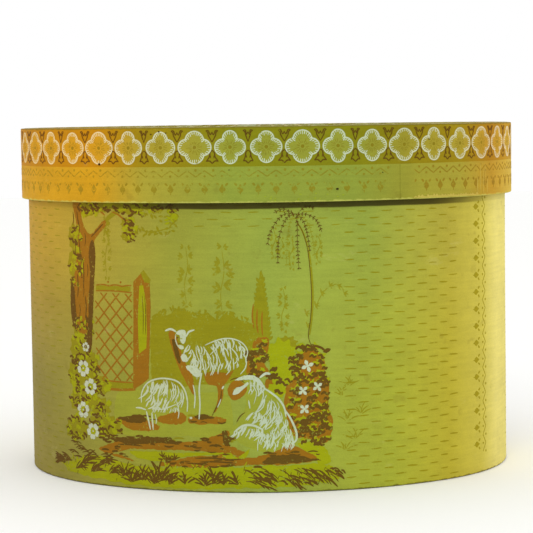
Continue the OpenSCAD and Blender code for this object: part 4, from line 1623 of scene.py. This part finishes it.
def lap_strip(wrap, face, low, high, start, end):
    """The end of a sheet where it rises on to the sheet below it, between two lengths."""
    rise = 5.0
    towards = 1 if end > start else -1

    def outline(length):
        share = min(1.0, abs(length - start) / rise)
        out = face + 0.02 + (PAPER - 0.02) * (3 * share ** 2 - 2 * share ** 3)
        rows = stations(low, high, ROW)
        return [(out, up) for up in rows] + [(face - 0.1, up) for up in reversed(rows)]

    first, last = (start, end) if towards > 0 else (end, start)
    return swept(wrap, outline, first, last)


class HATBOX_OT_wall_papers(bpy.types.Operator):
    """Cover the wall with its front and back sheets, turned in at the top and under the base"""
    bl_idname = "hatbox.wall_papers"
    bl_label = "Wall Papers"

    def execute(self, context):
        papers = settings()[0]
        material = ground_paper("wall_ground", papers.ground, False, COVER_BOTTOM, COVER_TOP)
        corner = papers.rounding / MM
        inside = -WALL_THICKNESS - PAPER
        outer = with_rows(filleted([(-TURN_IN, COVER_BOTTOM), (COVER_FACE, COVER_BOTTOM),
                                    (COVER_FACE, COVER_TOP), (inside, COVER_TOP),
                                    (inside, COVER_TOP - PAPER - TURN_IN)], (corner, corner, corner)))
        inner = with_rows([(inside + PAPER, COVER_TOP - PAPER - TURN_IN),
                           (inside + PAPER, COVER_TOP - PAPER), (0, COVER_TOP - PAPER), (0, BOARD_BOTTOM),
                           (-TURN_IN, BOARD_BOTTOM)])
        joint = WALL.length_at_y(SHEET_JOINT)
        low, high = COVER_BOTTOM + 0.5, COVER_TOP - 0.5
        front = [swept(WALL, lambda length: outer + inner, -joint, joint)]
        for side in (-1, 1):
            front.append(lap_strip(WALL, COVER_FACE, low, high, side * (joint - 5), side * (joint + LAP)))
        sheets = (("wall_paper_front", joined(front), "wall_cover_front"),
                  ("wall_paper_back", swept(WALL, lambda length: outer + inner, joint, WALL.girth - joint),
                   "wall_cover_back"))
        for name, shell, node in sheets:
            sheet = add_piece(name, *shell, material, "box", "scenic_paper")
            smooth_by_angle(sheet)
            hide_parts(node)
        return {"FINISHED"}


class HATBOX_OT_lid_papers(bpy.types.Operator):
    """Cover the lid with its flower border, its two lengths of drop border and its top paper"""
    bl_idname = "hatbox.lid_papers"
    bl_label = "Lid Papers"

    def execute(self, context):
        self.upper()
        self.lower()
        self.top()
        return {"FINISHED"}

    def upper(self):
        papers = settings()[0]
        material = ground_paper("flower_border_ground", papers.upper, True, None, BORDER_TOP)
        corner = papers.rounding / MM
        outer = with_rows(filleted([(LID_FACE - TURN_IN, BORDER_TOP), (LID_FACE, BORDER_TOP),
                                    (LID_FACE, STRIP_JOIN)], (corner,)))
        inner = with_rows([(RIM_FACE, STRIP_JOIN), (RIM_FACE, BORDER_TOP - PAPER),
                           (LID_FACE - TURN_IN, BORDER_TOP - PAPER)])
        joint = RIM.girth / 2 - (UPPER_JOINT - math.pi / 2) * (SIDE_RADIUS + LID_FACE)
        ring = swept(RIM, lambda length: outer + inner, joint - RIM.girth, joint)
        strip = lap_strip(RIM, LID_FACE, STRIP_JOIN, BORDER_TOP - 1, joint - 5, joint + LAP)
        border = add_piece("flower_border", *joined([ring, strip]), material, "lid", "flower_border_paper")
        smooth_by_angle(border)
        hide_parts("lid_upper_border")

    def lower(self):
        papers = settings()[0]
        material = ground_paper("drop_border_ground", papers.lower, True, LID_BOTTOM, None)
        corner = papers.rounding / MM
        inside = RIM_FACE - RIM_THICKNESS - PAPER
        outer = with_rows(filleted([(inside, LID_BOTTOM + TURN_IN), (inside, LID_BOTTOM),
                                    (LID_FACE, LID_BOTTOM), (LID_FACE, STRIP_JOIN)], (corner, corner)))
        inner = with_rows([(RIM_FACE, STRIP_JOIN), (RIM_FACE, LID_BOTTOM + PAPER),
                           (inside + PAPER, LID_BOTTOM + PAPER), (inside + PAPER, LID_BOTTOM + TURN_IN)])
        joint = RIM.length_at_x(BORDER_JOINT)
        behind = RIM.girth / 2 - joint
        right = [swept(RIM, lambda length: outer + inner, joint, behind),
                 lap_strip(RIM, LID_FACE, LID_BOTTOM + 0.5, STRIP_JOIN, joint + 5, joint - LAP),
                 lap_strip(RIM, LID_FACE, LID_BOTTOM + 0.5, STRIP_JOIN, behind - 5, behind + LAP)]
        lengths = (("drop_border_right", joined(right), "lid_lower_border_right"),
                   ("drop_border_left", swept(RIM, lambda length: outer + inner, behind - RIM.girth, joint),
                    "lid_lower_border_left"))
        for name, shell, node in lengths:
            strip = add_piece(name, *shell, material, "lid", "drop_border_paper")
            smooth_by_angle(strip)
            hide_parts(node)

    def top(self):
        papers = settings()[0]
        sheet = add_piece("lid_top_paper",
                          *slab(oval_outline(TOP_PAPER_FACE), LID_TOP - 2 * PAPER, top_level),
                          plain_paper("top_rag_paper", papers.top, 1.6), "lid", "top_paper")
        smooth_by_angle(sheet)
        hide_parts("lid_top_cover")


def top_level(x, y):
    """Height of the lid's top paper, with slow cockles that die out at its edge."""
    edge = math.hypot(x / HALF_LONG, y / HALF_DEEP)
    wave = math.sin(x / 31 + y / 47) + math.sin(y / 23 - x / 67 + 1.3) + math.sin((x + y) / 53 + 4)
    return LID_TOP + 0.12 * (wave / 3 - 1) * max(0.0, 1 - edge ** 6)


class HATBOX_OT_wall_prints(bpy.types.Operator):
    """Print the garden on the front and back sheets, one film for each colour"""
    bl_idname = "hatbox.wall_prints"
    bl_label = "Garden Prints"

    def execute(self, context):
        inks = settings()[1]
        joint = WALL.length_at_y(SHEET_JOINT)
        materials = {colour: ink("wall_ink_" + colour, getattr(inks, colour), False,
                                 0.4 if colour == "faint" else 0.34, 0.2 if colour == "rust" else 0.4)
                     for colour in Print.COLOURS}
        for side, reach, shift in (("front", joint, 0), ("back", WALL.girth / 2 - joint, WALL.girth / 2)):
            picture = garden(-reach, reach)
            for number, colour in enumerate(Print.COLOURS):
                height = 0.03 + inks.layer / MM * (number + 1)
                film(side + "_print_" + colour, getattr(picture, colour), WALL, height, materials[colour],
                     "box", "scenic_paper", shift)
        return {"FINISHED"}


class HATBOX_OT_border_prints(bpy.types.Operator):
    """Print the flowers and tulips of the upper border and the drops of the lower one"""
    bl_idname = "hatbox.border_prints"
    bl_label = "Border Prints"

    def execute(self, context):
        papers, inks = settings()[:2]
        joint = RIM.girth / 2 - (UPPER_JOINT - math.pi / 2) * (SIDE_RADIUS + LID_FACE)
        flowers = frieze(LID_TOP - 16.4, joint - RIM.girth + 16, joint - 14)
        for number, (colour,
                     value) in enumerate((("pale", tone(146, 150, 52)), ("olive", tone(128, 120, 24)),
                                          ("brown", tone(92, 70, 14)), ("white", tone(188, 200, 170)))):
            material = ink("border_ink_" + colour, value, True, 0.33, 0.9 if colour == "pale" else 0.4,
                           papers.upper)
            film("flower_border_" + colour, getattr(flowers, colour), RIM,
                 0.03 + inks.layer / MM * (number + 1), material, "lid", "flower_border_paper")
        seam = RIM.length_at_x(BORDER_JOINT)
        behind = RIM.girth / 2 - seam
        for name, start, end, value in (("left", behind - RIM.girth, seam - LAP, tone(136, 130, 30)),
                                        ("right", seam - LAP, behind + LAP, tone(136, 122, 28))):
            row = Block()
            drop_row(row, start, end, LID_BOTTOM)
            material = ink("drop_ink_" + name, value, True, 0.44 if name == "left" else 0.38,
                           ground=papers.lower)
            film("drop_print_" + name, row, RIM, 0.08 if name == "left" else 0.1, material, "lid",
                 "drop_border_paper")
        return {"FINISHED"}


class HATBOX_OT_top_print(bpy.types.Operator):
    """Print the garland on the lid's top"""
    bl_idname = "hatbox.top_print"
    bl_label = "Top Print"

    def execute(self, context):
        inks = settings()[1]
        garland = wreath()
        for number, colour in enumerate(Print.COLOURS):
            block = getattr(garland, colour)
            if block.cells:
                material = ink("top_ink_" + colour, getattr(inks, colour), True, 0.38, 0.3,
                               ground=settings()[0].top)
                flat_film("top_print_" + colour, block, top_level, 0.03 + inks.layer / MM * (number + 1),
                          material, "lid", "top_paper")
        return {"FINISHED"}


class HATBOX_OT_wear(bpy.types.Operator):
    """Add the lid's scuffed edge, its creases and its dark specks"""
    bl_idname = "hatbox.wear"
    bl_label = "Wear"

    def execute(self, context):
        marks = wear_marks()
        lower = settings()[0].lower
        for colour, value, height in (("pale", tone(176, 170, 78), 0.26),
                                      ("bright", tone(152, 168, 40), 0.28),
                                      ("brown", tone(54, 42, 12), 0.3)):
            material = ink("wear_" + colour, value, True, 0.3, 0.4, lower)
            film("lid_wear_" + colour, getattr(marks, colour), RIM, height, material, "lid",
                 "drop_border_paper")
        return {"FINISHED"}


class HATBOX_OT_stage(bpy.types.Operator):
    """Set the floor, the soft lights and the camera"""
    bl_idname = "hatbox.stage"
    bl_label = "Stage"

    def execute(self, context):
        look = settings()[3]
        scene = context.scene
        mesh = bpy.data.meshes.new("floor")
        size = 6.0
        mesh.from_pydata([(-size, -size, 0), (size, -size, 0), (size, size, 0), (-size, size, 0)], [],
                         [[0, 1, 2, 3]])
        floor = bpy.data.objects.new("floor", mesh)
        mesh.materials.append(floor_paper(look.floor))
        scene.collection.objects.link(floor)
        world = bpy.data.worlds.new("studio")
        world.use_nodes = True
        back = world.node_tree.nodes["Background"]
        back.inputs["Color"].default_value = (1, 1, 1, 1)
        back.inputs["Strength"].default_value = 1.0
        scene.world = world
        self.lamp("key", (-0.3, -2.2, 1.7), 0.5, 6)
        self.lamp("fill_left", (-1.9, -0.6, 0.7), 1.4, 1)
        self.lamp("fill_right", (1.9, -0.6, 0.7), 1.4, 2)
        camera = bpy.data.objects.new("camera", bpy.data.cameras.new("camera"))
        camera.data.lens = look.lens
        camera.data.sensor_width = 36
        camera.data.clip_end = 50
        camera.location = (-0.0011, -look.distance, look.height)
        level = Euler((math.pi / 2 - look.pitch, 0, 0)).to_matrix()
        camera.rotation_euler = (level @ Euler((0, 0, look.roll)).to_matrix()).to_euler()
        scene.collection.objects.link(camera)
        scene.camera = camera
        scene.view_settings.view_transform = "Standard"
        return {"FINISHED"}

    def lamp(self, name, place, size, power):
        """A large square soft light aimed at the middle of the box."""
        data = bpy.data.lights.new(name, "AREA")
        data.size = size
        data.energy = power
        lamp = bpy.data.objects.new(name, data)
        lamp.location = place
        aim = Vector((0, 0, LID_TOP * MM / 2)) - Vector(place)
        lamp.rotation_euler = aim.to_track_quat("-Z", "Y").to_euler()
        bpy.context.scene.collection.objects.link(lamp)


STEPS = (HATBOX_OT_boards, HATBOX_OT_linings, HATBOX_OT_wall_papers, HATBOX_OT_lid_papers,
         HATBOX_OT_wall_prints, HATBOX_OT_border_prints, HATBOX_OT_top_print, HATBOX_OT_wear,
         HATBOX_OT_stage)


class HATBOX_PT_panel(bpy.types.Panel):
    """Settings and making steps of the hat box"""
    bl_label = "Hat Box"
    bl_space_type = "VIEW_3D"
    bl_region_type = "UI"
    bl_category = "Hat Box"

    def draw(self, context):
        for group in settings():
            box = self.layout.box()
            for name in group.__annotations__:
                box.prop(group, name)
        for step in STEPS:
            self.layout.operator(step.bl_idname)


GROUPS = (("hat_box_papers", HatBoxPapers), ("hat_box_inks", HatBoxInks), ("hat_box_prints", HatBoxPrints),
          ("hat_box_stage", HatBoxStage))


def register():
    for name, group in GROUPS:
        bpy.utils.register_class(group)
        setattr(bpy.types.Scene, name, PointerProperty(type=group))
    for kind in (*STEPS, HATBOX_PT_panel):
        bpy.utils.register_class(kind)


def unregister():
    for kind in reversed((*STEPS, HATBOX_PT_panel)):
        bpy.utils.unregister_class(kind)
    for name, group in reversed(GROUPS):
        delattr(bpy.types.Scene, name)
        bpy.utils.unregister_class(group)


def main():
    """Makes the whole hat box."""
    register()
    for step in STEPS:
        group, name = step.bl_idname.split(".")
        getattr(getattr(bpy.ops, group), name)()


if __name__ == "__main__":
    main()
